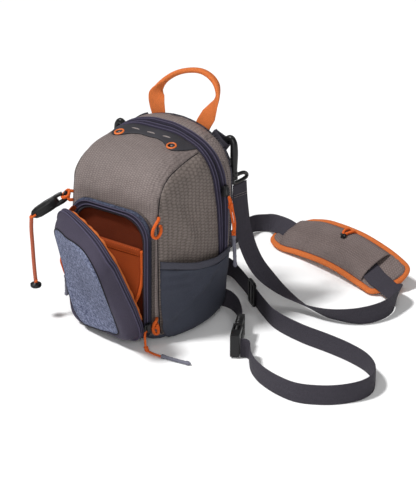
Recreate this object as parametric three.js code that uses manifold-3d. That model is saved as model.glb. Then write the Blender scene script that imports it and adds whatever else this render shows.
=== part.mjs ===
// Chest pack: millimetres, X to the viewer's right, Y to the back, Z up, origin on the floor under the body.
import * as THREE from 'three';
import Module from 'manifold-3d';
import { mergeVertices } from 'three/addons/utils/BufferGeometryUtils.js';

const wasm = await Module();
wasm.setup();

// Driving sizes.
const GAP = 0.3;
const WALL = 2;
const SEAM_X = 66;
const BASE_TOP = 8;
const BACK_FACE = 66;
const BACK_PAD = 5;
const ZIP_END_Z = 84;
const WEBBING = 25.4;
const WEBBING_THICK = 1.8;
const CORD = 3.2;
const POCKET_HALF = 60;
const POCKET_BOTTOM = 6;
const POCKET_TOP = 175;
const POCKET_RIM_Y = -74.5;
const LINING_Y = -69.2;
const LID_HINGE_Y = -78.2;

// Body sections: height, front y, front half width, back half width, front corner cut, back corner cut.
const SECTIONS = [
  { z: 0, front: -58, frontHalf: 62, back: 60, backHalf: 74, corner: 20, rear: 6 },
  { z: 3, front: -64, frontHalf: 66, back: 64, backHalf: 79, corner: 21, rear: 5 },
  { z: 9, front: -66.5, frontHalf: 68, back: 65.8, backHalf: 82, corner: 22, rear: 4 },
  { z: 20, front: -67.5, frontHalf: 69, back: 66, backHalf: 83, corner: 22, rear: 4 },
  { z: 64, front: -68.5, frontHalf: 69.5, back: 66, backHalf: 84, corner: 22, rear: 4 },
  { z: 86, front: -68.5, frontHalf: 69.5, back: 66, backHalf: 84.5, corner: 22, rear: 4 },
  { z: 108, front: -68.5, frontHalf: 69.5, back: 66, backHalf: 85.5, corner: 22, rear: 4 },
  { z: 162, front: -68, frontHalf: 69.5, back: 66, backHalf: 85.5, corner: 22, rear: 4 },
  { z: 185, front: -65.5, frontHalf: 68.5, back: 66, backHalf: 84.5, corner: 22, rear: 4 },
  { z: 203, front: -58, frontHalf: 67, back: 66, backHalf: 80.5, corner: 22, rear: 4 },
  { z: 216, front: -45, frontHalf: 63.5, back: 66, backHalf: 74, corner: 22, rear: 4 },
  { z: 226, front: -24, frontHalf: 56.5, back: 66, backHalf: 64, corner: 20, rear: 4 },
  { z: 233, front: 3, frontHalf: 46, back: 66, backHalf: 53, corner: 16, rear: 4 },
  { z: 239, front: 21, frontHalf: 34, back: 66, backHalf: 39, corner: 12, rear: 4 },
  { z: 243, front: 30, frontHalf: 20, back: 65.8, backHalf: 23, corner: 7, rear: 3 },
  { z: 245, front: 42, frontHalf: 8, back: 65.4, backHalf: 9, corner: 3, rear: 2 },
];
const SIDE_BULGE = 3;

const COLOR = {
  fabric: 0x8c807a,
  side: 0x7a716b,
  navy: 0x3f3b4e,
  pocket: 0x3b404d,
  hem: 0x565767,
  lidFace: 0x6b7089,
  lidBand: 0x5f5b69,
  orange: 0xdf7038,
  handle: 0xcd7340,
  lining: 0xbb5420,
  webbing: 0x47444a,
  black: 0x242426,
  patch: 0x3c3c40,
  tip: 0x6b6b74,
  pad: 0x77706c,
};

const pack = new THREE.Group();

function v3(x, y, z) {
  return new THREE.Vector3(x, y, z);
}

function mix(a, b, t) {
  return a + (b - a) * t;
}

function clamp01(t) {
  return Math.min(1, Math.max(0, t));
}

// A closed body from points and triangles, turned outwards.
function closed(points, triangles) {
  let volume = 0;
  for (const [i, j, k] of triangles) {
    volume += points[i].dot(points[j].clone().cross(points[k]));
  }
  const geometry = new THREE.BufferGeometry();
  const flat = points.flatMap((p) => [p.x, p.y, p.z]);
  geometry.setAttribute('position', new THREE.Float32BufferAttribute(flat, 3));
  geometry.setIndex(triangles.flatMap(([i, j, k]) => (volume < 0 ? [i, k, j] : [i, j, k])));
  return geometry;
}

function solidFrom(geometry) {
  const bare = geometry.clone();
  bare.deleteAttribute('normal');
  bare.deleteAttribute('uv');
  const merged = mergeVertices(bare, 1e-4);
  const mesh = new wasm.Mesh({
    numProp: 3,
    vertProperties: new Float32Array(merged.attributes.position.array),
    triVerts: new Uint32Array(merged.index.array),
  });
  mesh.merge();
  return new wasm.Manifold(mesh);
}

function geometryFrom(solid) {
  const mesh = solid.getMesh();
  const geometry = new THREE.BufferGeometry();
  geometry.setAttribute('position', new THREE.Float32BufferAttribute(mesh.vertProperties, 3));
  geometry.setIndex(Array.from(mesh.triVerts));
  return geometry;
}

function add(name, shape, color, roughness = 0.85, metalness = 0) {
  const geometry = shape.isBufferGeometry ? shape : geometryFrom(shape);
  const mesh = new THREE.Mesh(geometry, new THREE.MeshStandardMaterial({ color, roughness, metalness }));
  mesh.name = name;
  pack.add(mesh);
}

// Loft through rings of equal length, capped at both ends.
function loft(rings) {
  const count = rings[0].length;
  const points = rings.flat();
  const triangles = [];
  for (let i = 0; i + 1 < rings.length; i++) {
    for (let j = 0; j < count; j++) {
      const a = i * count + j;
      const b = i * count + ((j + 1) % count);
      triangles.push([a, b, b + count], [a, b + count, a + count]);
    }
  }
  const last = (rings.length - 1) * count;
  const middle = (ring) => ring.reduce((sum, p) => sum.add(p), v3(0, 0, 0)).divideScalar(ring.length);
  const low = points.push(middle(rings[0])) - 1;
  const high = points.push(middle(rings[rings.length - 1])) - 1;
  for (let j = 0; j < count; j++) {
    const k = (j + 1) % count;
    triangles.push([low, k, j], [high, last + j, last + k]);
  }
  return closed(points, triangles);
}

// A wall between two grids of points; wrapped grids close on themselves along the second index.
function wall(outer, inner, wrapped = false) {
  const rows = outer.length;
  const cols = outer[0].length;
  const points = [...outer.flat(), ...inner.flat()];
  const shift = rows * cols;
  const at = (i, j) => i * cols + (j % cols);
  const triangles = [];
  const spans = wrapped ? cols : cols - 1;
  for (let i = 0; i + 1 < rows; i++) {
    for (let j = 0; j < spans; j++) {
      const [a, b, c, d] = [at(i, j), at(i, j + 1), at(i + 1, j + 1), at(i + 1, j)];
      triangles.push([a, b, c], [a, c, d]);
      triangles.push([a + shift, c + shift, b + shift], [a + shift, d + shift, c + shift]);
    }
  }
  for (let j = 0; j < spans; j++) {
    for (const [i, flip] of [[0, true], [rows - 1, false]]) {
      const [a, b] = flip ? [at(i, j + 1), at(i, j)] : [at(i, j), at(i, j + 1)];
      triangles.push([a, b, b + shift], [a, b + shift, a + shift]);
    }
  }
  for (let i = 0; !wrapped && i + 1 < rows; i++) {
    for (const [j, flip] of [[0, false], [cols - 1, true]]) {
      const [a, b] = flip ? [at(i + 1, j), at(i, j)] : [at(i, j), at(i + 1, j)];
      triangles.push([a, b, b + shift], [a, b + shift, a + shift]);
    }
  }
  return closed(points, triangles);
}

// A flat band through stations { p, w, width, thick }: w is the direction across the band.
function band(stations) {
  const rings = stations.map(({ p, w, width, thick }, i) => {
    const before = stations[Math.max(0, i - 1)].p;
    const after = stations[Math.min(stations.length - 1, i + 1)].p;
    const along = after.clone().sub(before).normalize();
    const across = w.clone().sub(along.clone().multiplyScalar(w.dot(along))).normalize();
    const out = along.clone().cross(across);
    const corner = (s, t) =>
      p.clone().addScaledVector(across, (s * width) / 2).addScaledVector(out, (t * thick) / 2);
    return [corner(-1, -1), corner(1, -1), corner(1, 1), corner(-1, 1)];
  });
  return loft(rings);
}

// Webbing through rows of place and across direction: [x, y, z, wx, wy, wz].
function webbing(rows, count, width = WEBBING, thick = WEBBING_THICK) {
  const path = new THREE.CatmullRomCurve3(rows.map(([x, y, z]) => v3(x, y, z)), false, 'centripetal');
  const stations = [];
  for (let i = 0; i <= count; i++) {
    const t = i / count;
    const k = Math.min(rows.length - 2, Math.floor(t * (rows.length - 1)));
    const w = v3(...rows[k].slice(3)).lerp(v3(...rows[k + 1].slice(3)), t * (rows.length - 1) - k);
    stations.push({ p: path.getPoint(t), w, width, thick });
  }
  return band(stations);
}

function tube(points, diameter, steps, sides = 8, loop = false) {
  const path = new THREE.CatmullRomCurve3(points.map((p) => v3(...p)), loop, 'centripetal');
  const shape = new THREE.Shape();
  for (let i = 0; i < sides; i++) {
    const a = (i / sides) * 2 * Math.PI;
    const [x, y] = [(diameter / 2) * Math.cos(a), (diameter / 2) * Math.sin(a)];
    if (i === 0) shape.moveTo(x, y);
    else shape.lineTo(x, y);
  }
  return new THREE.ExtrudeGeometry(shape, { steps, extrudePath: path, curveSegments: 1 });
}

// Prisms from outlines drawn in one plane and pushed along the third axis.
function prism(outline, depth, matrix, holes = []) {
  const shape = new THREE.Shape(outline.map(([a, b]) => new THREE.Vector2(a, b)));
  for (const hole of holes) shape.holes.push(new THREE.Path(hole.map(([a, b]) => new THREE.Vector2(a, b))));
  const geometry = new THREE.ExtrudeGeometry(shape, { depth, bevelEnabled: false, curveSegments: 1 });
  return geometry.applyMatrix4(matrix);
}

function sidePrism(outline, x0, x1) {
  const m = new THREE.Matrix4().makeBasis(v3(0, 1, 0), v3(0, 0, 1), v3(1, 0, 0)).setPosition(x0, 0, 0);
  return prism(outline, x1 - x0, m);
}

function planPrism(outline, z0, z1, holes = []) {
  return prism(outline, z1 - z0, new THREE.Matrix4().makeTranslation(0, 0, z0), holes);
}

function frontPrism(outline, y0, y1, holes = []) {
  const m = new THREE.Matrix4().makeBasis(v3(1, 0, 0), v3(0, 0, 1), v3(0, -1, 0)).setPosition(0, y1, 0);
  return prism(outline, y1 - y0, m, holes);
}

function box(x0, x1, y0, y1, z0, z1) {
  const geometry = new THREE.BoxGeometry(x1 - x0, y1 - y0, z1 - z0);
  return solidFrom(geometry.translate((x0 + x1) / 2, (y0 + y1) / 2, (z0 + z1) / 2));
}

// Body surface: one ring of points per section, with the outward direction at every point.
function sectionRing({ z, front, frontHalf, back, backHalf, corner, rear }) {
  const corners = [
    { p: v3(-frontHalf, front, z), cut: corner, arc: 4, edge: 2, bulge: 0 },
    { p: v3(frontHalf, front, z), cut: corner, arc: 4, edge: 4, bulge: SIDE_BULGE },
    { p: v3(backHalf, back, z), cut: rear, arc: 2, edge: 2, bulge: 0 },
    { p: v3(-backHalf, back, z), cut: rear, arc: 2, edge: 4, bulge: SIDE_BULGE },
  ];
  const ring = [];
  corners.forEach(({ p, cut, edge, bulge }, i) => {
    const next = corners[(i + 1) % 4];
    const along = next.p.clone().sub(p).normalize();
    const out = v3(along.y, -along.x, 0);
    const start = p.clone().addScaledVector(along, cut);
    const end = next.p.clone().addScaledVector(along, -next.cut);
    for (let j = 0; j <= edge; j++) {
      const t = j / edge;
      ring.push(start.clone().lerp(end, t).addScaledVector(out, 4 * bulge * t * (1 - t)));
    }
    const after = corners[(i + 2) % 4].p.clone().sub(next.p).normalize();
    const far = next.p.clone().addScaledVector(after, next.cut);
    for (let j = 1; j < next.arc; j++) {
      const t = j / next.arc;
      ring.push(end.clone().lerp(next.p, t).lerp(next.p.clone().lerp(far, t), t));
    }
  });
  return ring;
}

const bodyRings = SECTIONS.map(sectionRing);
const bodyNormals = bodyRings.map((ring, i) =>
  ring.map((p, j) => {
    const n = ring.length;
    const around = ring[(j + 1) % n].clone().sub(ring[(j + n - 1) % n]);
    const above = bodyRings[Math.min(i + 1, bodyRings.length - 1)][j];
    const up = above.clone().sub(bodyRings[Math.max(0, i - 1)][j]);
    return around.cross(up).normalize();
  }),
);

function bodySolid(grow) {
  const amount = typeof grow === 'function' ? grow : () => grow;
  const rings = bodyRings.map((ring, i) =>
    ring.map((p, j) => {
      const q = p.clone().addScaledVector(bodyNormals[i][j], amount(p));
      if (i === 0) q.z = -amount(p);
      return q;
    }),
  );
  return solidFrom(loft(rings));
}

// Height of the body's top over a place in plan.
function surfaceAt(x, y) {
  const inside = (ring) => {
    let hit = false;
    ring.forEach((a, i) => {
      const b = ring[(i + 1) % ring.length];
      if (a.y > y !== b.y > y && x < ((b.x - a.x) * (y - a.y)) / (b.y - a.y) + a.x) hit = !hit;
    });
    return hit;
  };
  const grown = (i, t) => bodyRings[i].map((p, j) => p.clone().lerp(bodyRings[i + 1][j], t));
  for (let i = bodyRings.length - 2; i >= 0; i--) {
    for (let t = 0.95; t >= -0.01; t -= 0.05) {
      if (inside(grown(i, t))) return mix(SECTIONS[i].z, SECTIONS[i + 1].z, t);
    }
  }
  return 0;
}

// Panels cut from the body shell.
const body = bodySolid(0);
const shell = body.subtract(bodySolid(-WALL));
const zipFront = [[19.5, 260], [22, 220], [26, 195], [33, 150], [41, ZIP_END_Z]];
const zipRear = [[38.5, 260], [44, 224], [50, 192], [55, 160], [57.5, ZIP_END_Z]];
const gusset = BACK_FACE - BACK_PAD;
const ahead = solidFrom(sidePrism([[-120, -20], [gusset, -20], [gusset, ZIP_END_Z - GAP],
  [zipFront[4][0] - GAP, ZIP_END_Z - GAP], ...[...zipFront].reverse().map(([y, z]) => [y - GAP, z]),
  [-120, 260]], -130, 130));
const zipStrip = solidFrom(sidePrism([...zipFront, ...[...zipRear].reverse()].reverse(), -130, 130));
const behind = solidFrom(sidePrism([[gusset, 260], ...zipRear.map(([y, z]) => [y + GAP, z]),
  [gusset, ZIP_END_Z]], -130, 130));
const middle = box(-SEAM_X + GAP / 2, SEAM_X - GAP / 2, -120, 120, BASE_TOP + GAP, 270);
const rightSide = box(SEAM_X + GAP / 2, 130, -120, 120, BASE_TOP + GAP, 270);
const leftSide = box(-130, -SEAM_X - GAP / 2, -120, 120, BASE_TOP + GAP, 270);

add('front_panel', shell.intersect(ahead).intersect(middle), COLOR.fabric);
add('side_panel_right', shell.intersect(ahead).intersect(rightSide), COLOR.side);
add('side_panel_left', shell.intersect(ahead).intersect(leftSide), COLOR.side);
add('base_panel', shell.intersect(box(-130, 130, -120, gusset, -5, BASE_TOP)), COLOR.pocket);
add('rear_gusset', shell.intersect(behind), COLOR.fabric);
add('back_panel', body.intersect(box(-130, 130, gusset + GAP, 120, -5, 270)), COLOR.webbing);
add('main_zip', bodySolid(1.2).subtract(bodySolid(-1.6)).intersect(zipStrip), COLOR.navy);

// Docking strip: a layer over the front panel's top, with eyelets and slits.
const stripHalf = [[0, 4.5], [13, 5], [25, 2], [34, -4], [44, -8], [51, -4], [57, 6], [61, 17]];
const stripOutline = [...stripHalf, ...[...stripHalf].reverse().slice(0, -1).map(([x, y]) => [-x, y])];
const EYELET = { x: 40.5, y: -1, outer: 6.6, inner: 3 };
let strip = bodySolid(1.8).subtract(bodySolid(GAP)).intersect(solidFrom(planPrism(stripOutline, 205, 262)))
  .intersect(ahead);
for (const x of [-24, 0, 24]) strip = strip.subtract(box(x - 6.5, x + 6.5, 9.8, 12.2, 200, 270));
for (const x of [-EYELET.x, EYELET.x]) {
  const hole = new THREE.CylinderGeometry(EYELET.inner + 1.8, EYELET.inner + 1.8, 60, 10);
  strip = strip.subtract(solidFrom(hole.rotateX(Math.PI / 2).translate(x, EYELET.y, 235)));
}
add('docking_strip', strip, COLOR.patch, 0.6);
function eyelet(side) {
  const { x, y, inner, outer } = EYELET;
  const profile = [[inner, 0], [inner + 0.9, 0], [inner + 0.9, 2], [outer, 2], [outer - 0.6, 3],
    [inner, 3], [inner, 0]];
  const ring = new THREE.LatheGeometry(profile.map(([r, h]) => new THREE.Vector2(r, h)), 12);
  const fall = (dx, dy) => surfaceAt(x - dx, y - dy) - surfaceAt(x + dx, y + dy);
  const slope = v3(fall(4, 0), fall(0, 4), 8).normalize();
  slope.x *= side;
  const turn = new THREE.Quaternion().setFromUnitVectors(v3(0, 1, 0), slope);
  return ring.applyQuaternion(turn).translate(side * x, y, surfaceAt(x, y) + 0.5);
}
add('eyelet_right', eyelet(1), COLOR.orange, 0.45);
add('eyelet_left', eyelet(-1), COLOR.orange, 0.45);

// Front pocket: outlines are rounded rectangles in X and Z, pulled in by an inset.
function pocketOutline(inset, segments = 4) {
  const [half, low, high] = [POCKET_HALF - inset, POCKET_BOTTOM + inset, POCKET_TOP - inset];
  const arcs = [
    { x: half - 16, z: low + 16, r: 16, from: -90 },
    { x: half - 30, z: high - 30, r: 30, from: 0 },
    { x: -half + 30, z: high - 30, r: 30, from: 90 },
    { x: -half + 16, z: low + 16, r: 16, from: 180 },
  ];
  const points = [];
  for (const { x, z, r, from } of arcs) {
    for (let i = 0; i <= segments; i++) {
      const a = THREE.MathUtils.degToRad(from + (90 * i) / segments);
      points.push([x + r * Math.cos(a), z + r * Math.sin(a)]);
    }
  }
  return points;
}

const rim = solidFrom(frontPrism(pocketOutline(0), POCKET_RIM_Y, -45, [pocketOutline(1.8)]));
add('pocket_rim', rim.subtract(bodySolid(GAP)), COLOR.hem);
add('pocket_zip', frontPrism(pocketOutline(0.4), POCKET_RIM_Y - 1.7, POCKET_RIM_Y - GAP, [pocketOutline(9)]),
  COLOR.navy);
add('pocket_lining', frontPrism(pocketOutline(2.4), LINING_Y - 1.2, LINING_Y), COLOR.lining);

// The lid bends open about a slanting line: to the base on the right, half way on the left.
const LID = { rise: 169, hinge: 66, foot: 14, ramp: 18, left: 12, right: 28 };
function lidPoint(x, h, d) {
  const u = clamp01((x + POCKET_HALF) / (2 * POCKET_HALF));
  const start = mix(LID.hinge, LID.foot, u) - LID.ramp;
  const full = THREE.MathUtils.degToRad(mix(LID.left, LID.right, u));
  const k = full / (2 * LID.ramp);
  const bent = Math.min(2 * LID.ramp, Math.max(0, h - start));
  const angle = k * bent;
  const rest = Math.max(0, h - start - 2 * LID.ramp);
  const flat = Math.min(h, start);
  const forward = (1 - Math.cos(angle)) / k + rest * Math.sin(full) + d * Math.cos(angle);
  const up = flat + Math.sin(angle) / k + rest * Math.cos(full) - d * Math.sin(angle);
  return v3(x, LID_HINGE_Y - forward, POCKET_BOTTOM + up);
}
function lidDepth(x, h) {
  const u = clamp01((x + POCKET_HALF) / (2 * POCKET_HALF));
  return mix(mix(7, 23, h / LID.rise), 34, u);
}
function lidOutline(inset) {
  return pocketOutline(inset).map(([x, z]) => [x, z - POCKET_BOTTOM]);
}
function lidHalf(h, inset) {
  const [half, high] = [POCKET_HALF - inset, LID.rise - inset];
  const low = inset;
  if (h > high - 30) return half - 30 + Math.sqrt(Math.max(0, 900 - (h - high + 30) ** 2));
  if (h < low + 16) return half - 16 + Math.sqrt(Math.max(0, 256 - (low + 16 - h) ** 2));
  return half;
}
function lidSheet(inset, depthOf) {
  const steps = [0, 3, 12, 45, 80, 115, 136, 152, 160, 163];
  return steps.map((s) => {
    const h = mix(inset, LID.rise - inset, s / 163);
    const row = [];
    for (let j = 0; j <= 6; j++) {
      const x = lidHalf(h, inset) * (j / 3 - 1);
      row.push(lidPoint(x, h, depthOf(x, h)));
    }
    return row;
  });
}
function lidLoop(inset, depthOf) {
  return lidOutline(inset).map(([x, h]) => lidPoint(x, h, depthOf(x, h)));
}
const LID_WALL = 1.8;
const LID_DRAFT = 8;
const lidRows = [0, 0.5, 1];
const FACE_INSET = LID_DRAFT + LID_WALL + 0.9;
add('lid_face', wall(lidSheet(FACE_INSET, (x, h) => lidDepth(x, h) - 0.2),
  lidSheet(FACE_INSET, (x, h) => lidDepth(x, h) - 2.2)), COLOR.lidFace);
add('lid_band', wall(lidRows.map((t) => lidLoop(LID_DRAFT * t, (x, h) => lidDepth(x, h) * t)),
  lidRows.map((t) => lidLoop(LID_DRAFT * t + LID_WALL, (x, h) => lidDepth(x, h) * t)), true), COLOR.lidBand);
add('lid_lining', wall(lidSheet(FACE_INSET + 0.6, (x, h) => lidDepth(x, h) - 3.2),
  lidSheet(FACE_INSET + 0.6, (x, h) => lidDepth(x, h) - 4.4)), COLOR.lining);
add('lid_zip', wall([lidLoop(0.4, () => -GAP), lidLoop(9, () => -GAP)],
  [lidLoop(0.4, () => -1.6), lidLoop(9, () => -1.6)], true), COLOR.navy);

// Slip pocket: hangs from a hem on the lining and bellies out to the open side.
const SLIP = { half: 45, top: 124, low: 25, y: -70.7, left: 6, right: 16 };
function slipPoint(u, v, off) {
  const belly = mix(SLIP.left, SLIP.right, u ** 1.5) * Math.sin(Math.PI * v) ** 1.1;
  return v3(mix(-SLIP.half, SLIP.half, u), SLIP.y - belly - off, mix(SLIP.top, SLIP.low, v));
}
const slipGrid = (off) => [0, 0.1, 0.25, 0.45, 0.6, 0.8, 0.92, 1].map((v) =>
  [0, 0.25, 0.5, 0.7, 0.85, 1].map((u) => slipPoint(u, v, off)));
add('slip_pocket', wall(slipGrid(1.4), slipGrid(0)), COLOR.lining);
const bindingPath = [0.02, 0.15, 0.3, 0.45, 0.6, 0.75, 0.9].map((v) => {
  const p = slipPoint(1, v, 1.7);
  return [p.x + 2.1, p.y, p.z];
});
add('slip_binding', tube(bindingPath, 3.4, 12, 6), COLOR.orange);

// Side pockets: a stretched layer that stands off the side panels, with a hem along the mouth.
function pocketStand(p) {
  const v = clamp01((p.y + 62) / 124);
  return 0.5 + 9 * Math.sin(Math.PI * v) ** 0.8 * clamp01((p.z + 4) / 14);
}
const pocketLayer = (low, high) => bodySolid((p) => pocketStand(p) + high)
  .subtract(bodySolid((p) => pocketStand(p) + low));
const hemLine = (drop) => [[60.6, 92 - drop], [25, 91 - drop], [-15, 97 - drop], [-66, 111 - drop]];
const pocketOutside = [[-78, 3.5], [60.6, 3.5], ...hemLine(10 + GAP), [-78, 104]];
const hemOutside = [[-78, 104.5], ...hemLine(10).reverse(), ...hemLine(0), [-78, 114]];
const pocketSide = solidFrom(sidePrism(pocketOutside, -140, 140));
const hemSide = solidFrom(sidePrism(hemOutside, -140, 140));
const outerRight = box(SEAM_X + 1, 140, -120, 120, 0, 270);
const outerLeft = box(-140, -SEAM_X - 1, -120, 120, 0, 270);
const pocketWall = pocketLayer(0, 1.5).intersect(pocketSide);
const pocketHem = pocketLayer(-0.2, 2.2).intersect(hemSide);
add('side_pocket_right', pocketWall.intersect(outerRight), COLOR.pocket);
add('side_pocket_left', pocketWall.intersect(outerLeft), COLOR.pocket);
add('pocket_hem_right', pocketHem.intersect(outerRight), COLOR.hem);
add('pocket_hem_left', pocketHem.intersect(outerLeft), COLOR.hem);

// Seam loops of cord at the front corners, on the middle of the corner's arc.
const CORNER = 4;
function seamPoint(side, z, out, over = 0) {
  const i = SECTIONS.findIndex((row) => row.z > z) - 1;
  const t = (z - SECTIONS[i].z) / (SECTIONS[i + 1].z - SECTIONS[i].z);
  const p = bodyRings[i][CORNER].clone().lerp(bodyRings[i + 1][CORNER], t);
  const n = bodyNormals[i][CORNER];
  p.addScaledVector(n, out).add(v3(n.y, -n.x, 0).multiplyScalar(over));
  return [side * p.x, p.y, p.z];
}
// Rows: height, distance out from the seam, distance over towards the front.
const LOOP_UPPER = [
  [163, 0.7, 0], [162, 4.6, 1], [156, 7.4, 6], [148, 8.2, 8.6], [140.5, 8.2, 7.6], [137.6, 7.6, 3.4],
  [141, 6.6, -1], [148, 5.6, -2.4], [153.6, 4, -1.6], [155.6, 0.7, -0.6],
];
const LOOP_LOWER = [
  [33, 0.7, 0], [32, 5, 1], [27, 7.4, 4.6], [20.5, 7.8, 5.4], [15.4, 7, 2.6], [15.6, 6.8, -0.4],
  [20, 6, -1], [24.6, 4.4, -0.4], [26, 0.7, 0.4],
];
const seamLoop = (side, rows) => tube(rows.map((row) => seamPoint(side, ...row)), CORD, 18, 6);
add('loop_upper_right', seamLoop(1, LOOP_UPPER), COLOR.orange);
add('loop_lower_right', seamLoop(1, LOOP_LOWER), COLOR.orange);
add('loop_lower_left', seamLoop(-1, LOOP_LOWER), COLOR.orange);

// Tippet holder: a flat clip on the left loop, whose cord runs through the clip's slot.
const CLIP = { x: -77, y: -71, z: 160, length: 51, width: 15, thick: 5 };
const clipDown = v3(-0.6, -0.6, -0.53).normalize();
const clipFace = v3(1, -1, 0).normalize();
const clipSide = clipFace.clone().cross(clipDown);
const clipAt = (along, side, face) => v3(CLIP.x, CLIP.y, CLIP.z).addScaledVector(clipDown, along)
  .addScaledVector(clipSide, side).addScaledVector(clipFace, face).toArray();
function stadium(a, b, half, segments = 5) {
  const points = [];
  for (const [centre, from] of [[b, -90], [a, 90]]) {
    for (let i = 0; i <= segments; i++) {
      const t = THREE.MathUtils.degToRad(from + (180 * i) / segments);
      points.push([centre + half * Math.cos(t), half * Math.sin(t)]);
    }
  }
  return points;
}
const clipFrame = new THREE.Matrix4().makeBasis(clipDown, clipFace.clone().cross(clipDown), clipFace)
  .setPosition(...clipAt(0, 0, -CLIP.thick / 2));
const leftLoop = [seamPoint(-1, 168, 0.7), seamPoint(-1, 168.5, 5), clipAt(-9.5, 0, 8.2), clipAt(-2, 0, 4),
  clipAt(-2, 0, -4), clipAt(-11.5, 0, -8), seamPoint(-1, 157.5, 6), seamPoint(-1, 157, 0.7)];
const clipPlate = solidFrom(prism(stadium(0, CLIP.length - 16, CLIP.width / 2), CLIP.thick, clipFrame,
  [stadium(-1, 12, 4.5), stadium(21, 34, 3)]));
add('tippet_clip', clipPlate.subtract(solidFrom(tube(leftLoop, CORD + 2 * GAP, 20, 6))), COLOR.black, 0.5);
add('loop_upper_left', tube(leftLoop, CORD, 20, 6), COLOR.orange);
const cordTop = clipAt(CLIP.length - 8.5 + CORD / 2 + GAP, 0, 0);
const TIPPET_DROP = [[0, 0, 0], [-1, 0, -16], [0, 0, -38], [2, -1, -62], [4, -1, -88]];
const tippetPath = TIPPET_DROP.map(([x, y, z]) => [cordTop[0] + x, cordTop[1] + y, cordTop[2] + z]);
add('tippet_cord', tube(tippetPath, CORD, 10, 8), COLOR.orange);
const stopAt = tippetPath[4];
add('tippet_stop', new THREE.CylinderGeometry(7, 7, 5, 14).rotateX(Math.PI / 2)
  .translate(stopAt[0], stopAt[1], stopAt[2] - 3.2), COLOR.black, 0.5);

// Carry handle: flat at the legs, folded narrow over the top. Rows: x, y, z, wx, wy, wz, width, thick.
const HANDLE = [
  [-33, 67.8, 226, 1, 0, 0, 24, 2.2], [-34, 68, 240, 1, 0, 0, 24, 2.2],
  [-38, 70, 252, 1, 0.1, 0.1, 22, 2.4], [-40, 74, 265, 0.8, 0.7, 0.1, 15, 3.6],
  [-33, 80, 279, 0.3, 1, 0, 9, 5], [-19, 85, 289.8, 0, 1, -0.1, 8, 5.5],
  [0, 88, 296.8, 0, 1, -0.2, 8, 5.5], [18, 89, 298.8, 0, 1, -0.2, 8, 5.5],
  [33, 88, 295, 0, 1, -0.1, 8, 5.5], [44, 85, 287.5, -0.2, 1, 0, 8, 5.2],
  [49, 81, 277, -0.6, 0.9, 0, 10, 4.4], [48, 75, 265, -0.9, 0.5, 0, 17, 3.4],
  [43, 70.5, 252, -1, 0.1, 0.15, 23, 2.4], [36, 68, 238, -1, 0, 0.1, 24, 2.2],
  [33, 67.8, 226, -1, 0, 0, 24, 2.2],
];
function handleBand(rows, count) {
  const path = new THREE.CatmullRomCurve3(rows.map((r) => v3(r[0], r[1], r[2])), false, 'centripetal');
  const stations = [];
  for (let i = 0; i <= count; i++) {
    const at = (i / count) * (rows.length - 1);
    const k = Math.min(rows.length - 2, Math.floor(at));
    const r = rows[k].map((value, c) => mix(value, rows[k + 1][c], at - k));
    stations.push({ p: path.getPoint(i / count), w: v3(r[3], r[4], r[5]), width: r[6], thick: r[7] });
  }
  return band(stations);
}
add('carry_handle', handleBand(HANDLE, 30), COLOR.handle);

// Strap tabs, snap hooks and their webbing loops; the left set hangs lower.
const TAB = { width: 15, thick: 1.8 };
const TAB_RIGHT = [
  [50, 67.4, 231.2, 0.5, 0, 0.9], [54.5, 67.4, 227.6, 0.6, 0, 0.8], [59, 67.4, 223.8, 0.6, 0, 0.8],
  [64, 67.3, 219.6, 0.6, 0, 0.8], [69.4, 69.4, 215.2, 0.6, 0, 0.8], [69.4, 74.6, 215.2, 0.6, 0, 0.8],
  [64, 77, 219.6, 0.6, 0, 0.8], [57.5, 73.6, 225, 0.6, 0, 0.8], [53.3, 71, 228.6, 0.6, 0, 0.8],
  [50, 69.8, 231.2, 0.5, 0, 0.9],
];
const TAB_LEFT = [
  [-49, 67.4, 229, -0.35, 0, 1], [-57, 67.4, 225.6, -0.4, 0, 0.9], [-70, 67.6, 216.4, -0.6, 0, 0.8],
  [-81, 67.4, 207.6, -0.6, 0, 0.8], [-88, 66.9, 202, -0.6, 0, 0.8], [-92.6, 69.4, 198.6, -0.6, 0, 0.8],
  [-92.6, 74.6, 198.6, -0.6, 0, 0.8], [-88, 77, 202, -0.6, 0, 0.8], [-80, 73.6, 208.4, -0.6, 0, 0.8],
  [-70, 71, 216.4, -0.6, 0, 0.8], [-58, 70.4, 225, -0.4, 0, 0.9], [-50, 69.8, 228.6, -0.35, 0, 1],
];
add('strap_tab_right', webbing(TAB_RIGHT, 20, TAB.width, TAB.thick), COLOR.webbing);
add('strap_tab_left', webbing(TAB_LEFT, 22, TAB.width, TAB.thick), COLOR.webbing);
const HOOK_RIGHT = [
  [81, 71.8, 184], [81, 71.8, 201], [81, 71.8, 216], [80, 71.8, 224], [76.5, 71.8, 228.6],
  [72, 72, 227.6], [67.5, 72, 221.8], [62.5, 72, 214.5],
];
const HOOK_LEFT = [
  [-104, 71.8, 164], [-104, 71.8, 180], [-104, 71.8, 200], [-103, 71.8, 209], [-99, 71.8, 213],
  [-94, 72, 210], [-88.6, 72, 202.4], [-82.8, 72, 194.6],
];
function swivelLoop(x, z) {
  const [y, half, drop] = [84, 14.4, 2];
  const ring = [[x, y - half, z + 3], [x, y - 11, z + 6.4], [x, y + 8, z + 6], [x, y + half, z + 2],
    [x, y + half, z - 0.5], [x, y + 11, z - drop], [x, y - 11, z - drop], [x, y - half, z - 0.5]];
  const bar = solidFrom(tube(ring, 4, 14, 6, true));
  const stem = new THREE.CylinderGeometry(4.6, 3.8, 9, 8).rotateX(Math.PI / 2).translate(x, 72.6, z + 6);
  return bar.add(solidFrom(stem));
}
add('snap_hook_right', tube(HOOK_RIGHT, 6.2, 14, 7), COLOR.black, 0.5);
add('snap_hook_left', tube(HOOK_LEFT, 6.2, 14, 7), COLOR.black, 0.5);
add('swivel_loop_right', swivelLoop(81, 172.8), COLOR.black, 0.5);
add('swivel_loop_left', swivelLoop(-104, 152.8), COLOR.black, 0.5);

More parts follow.
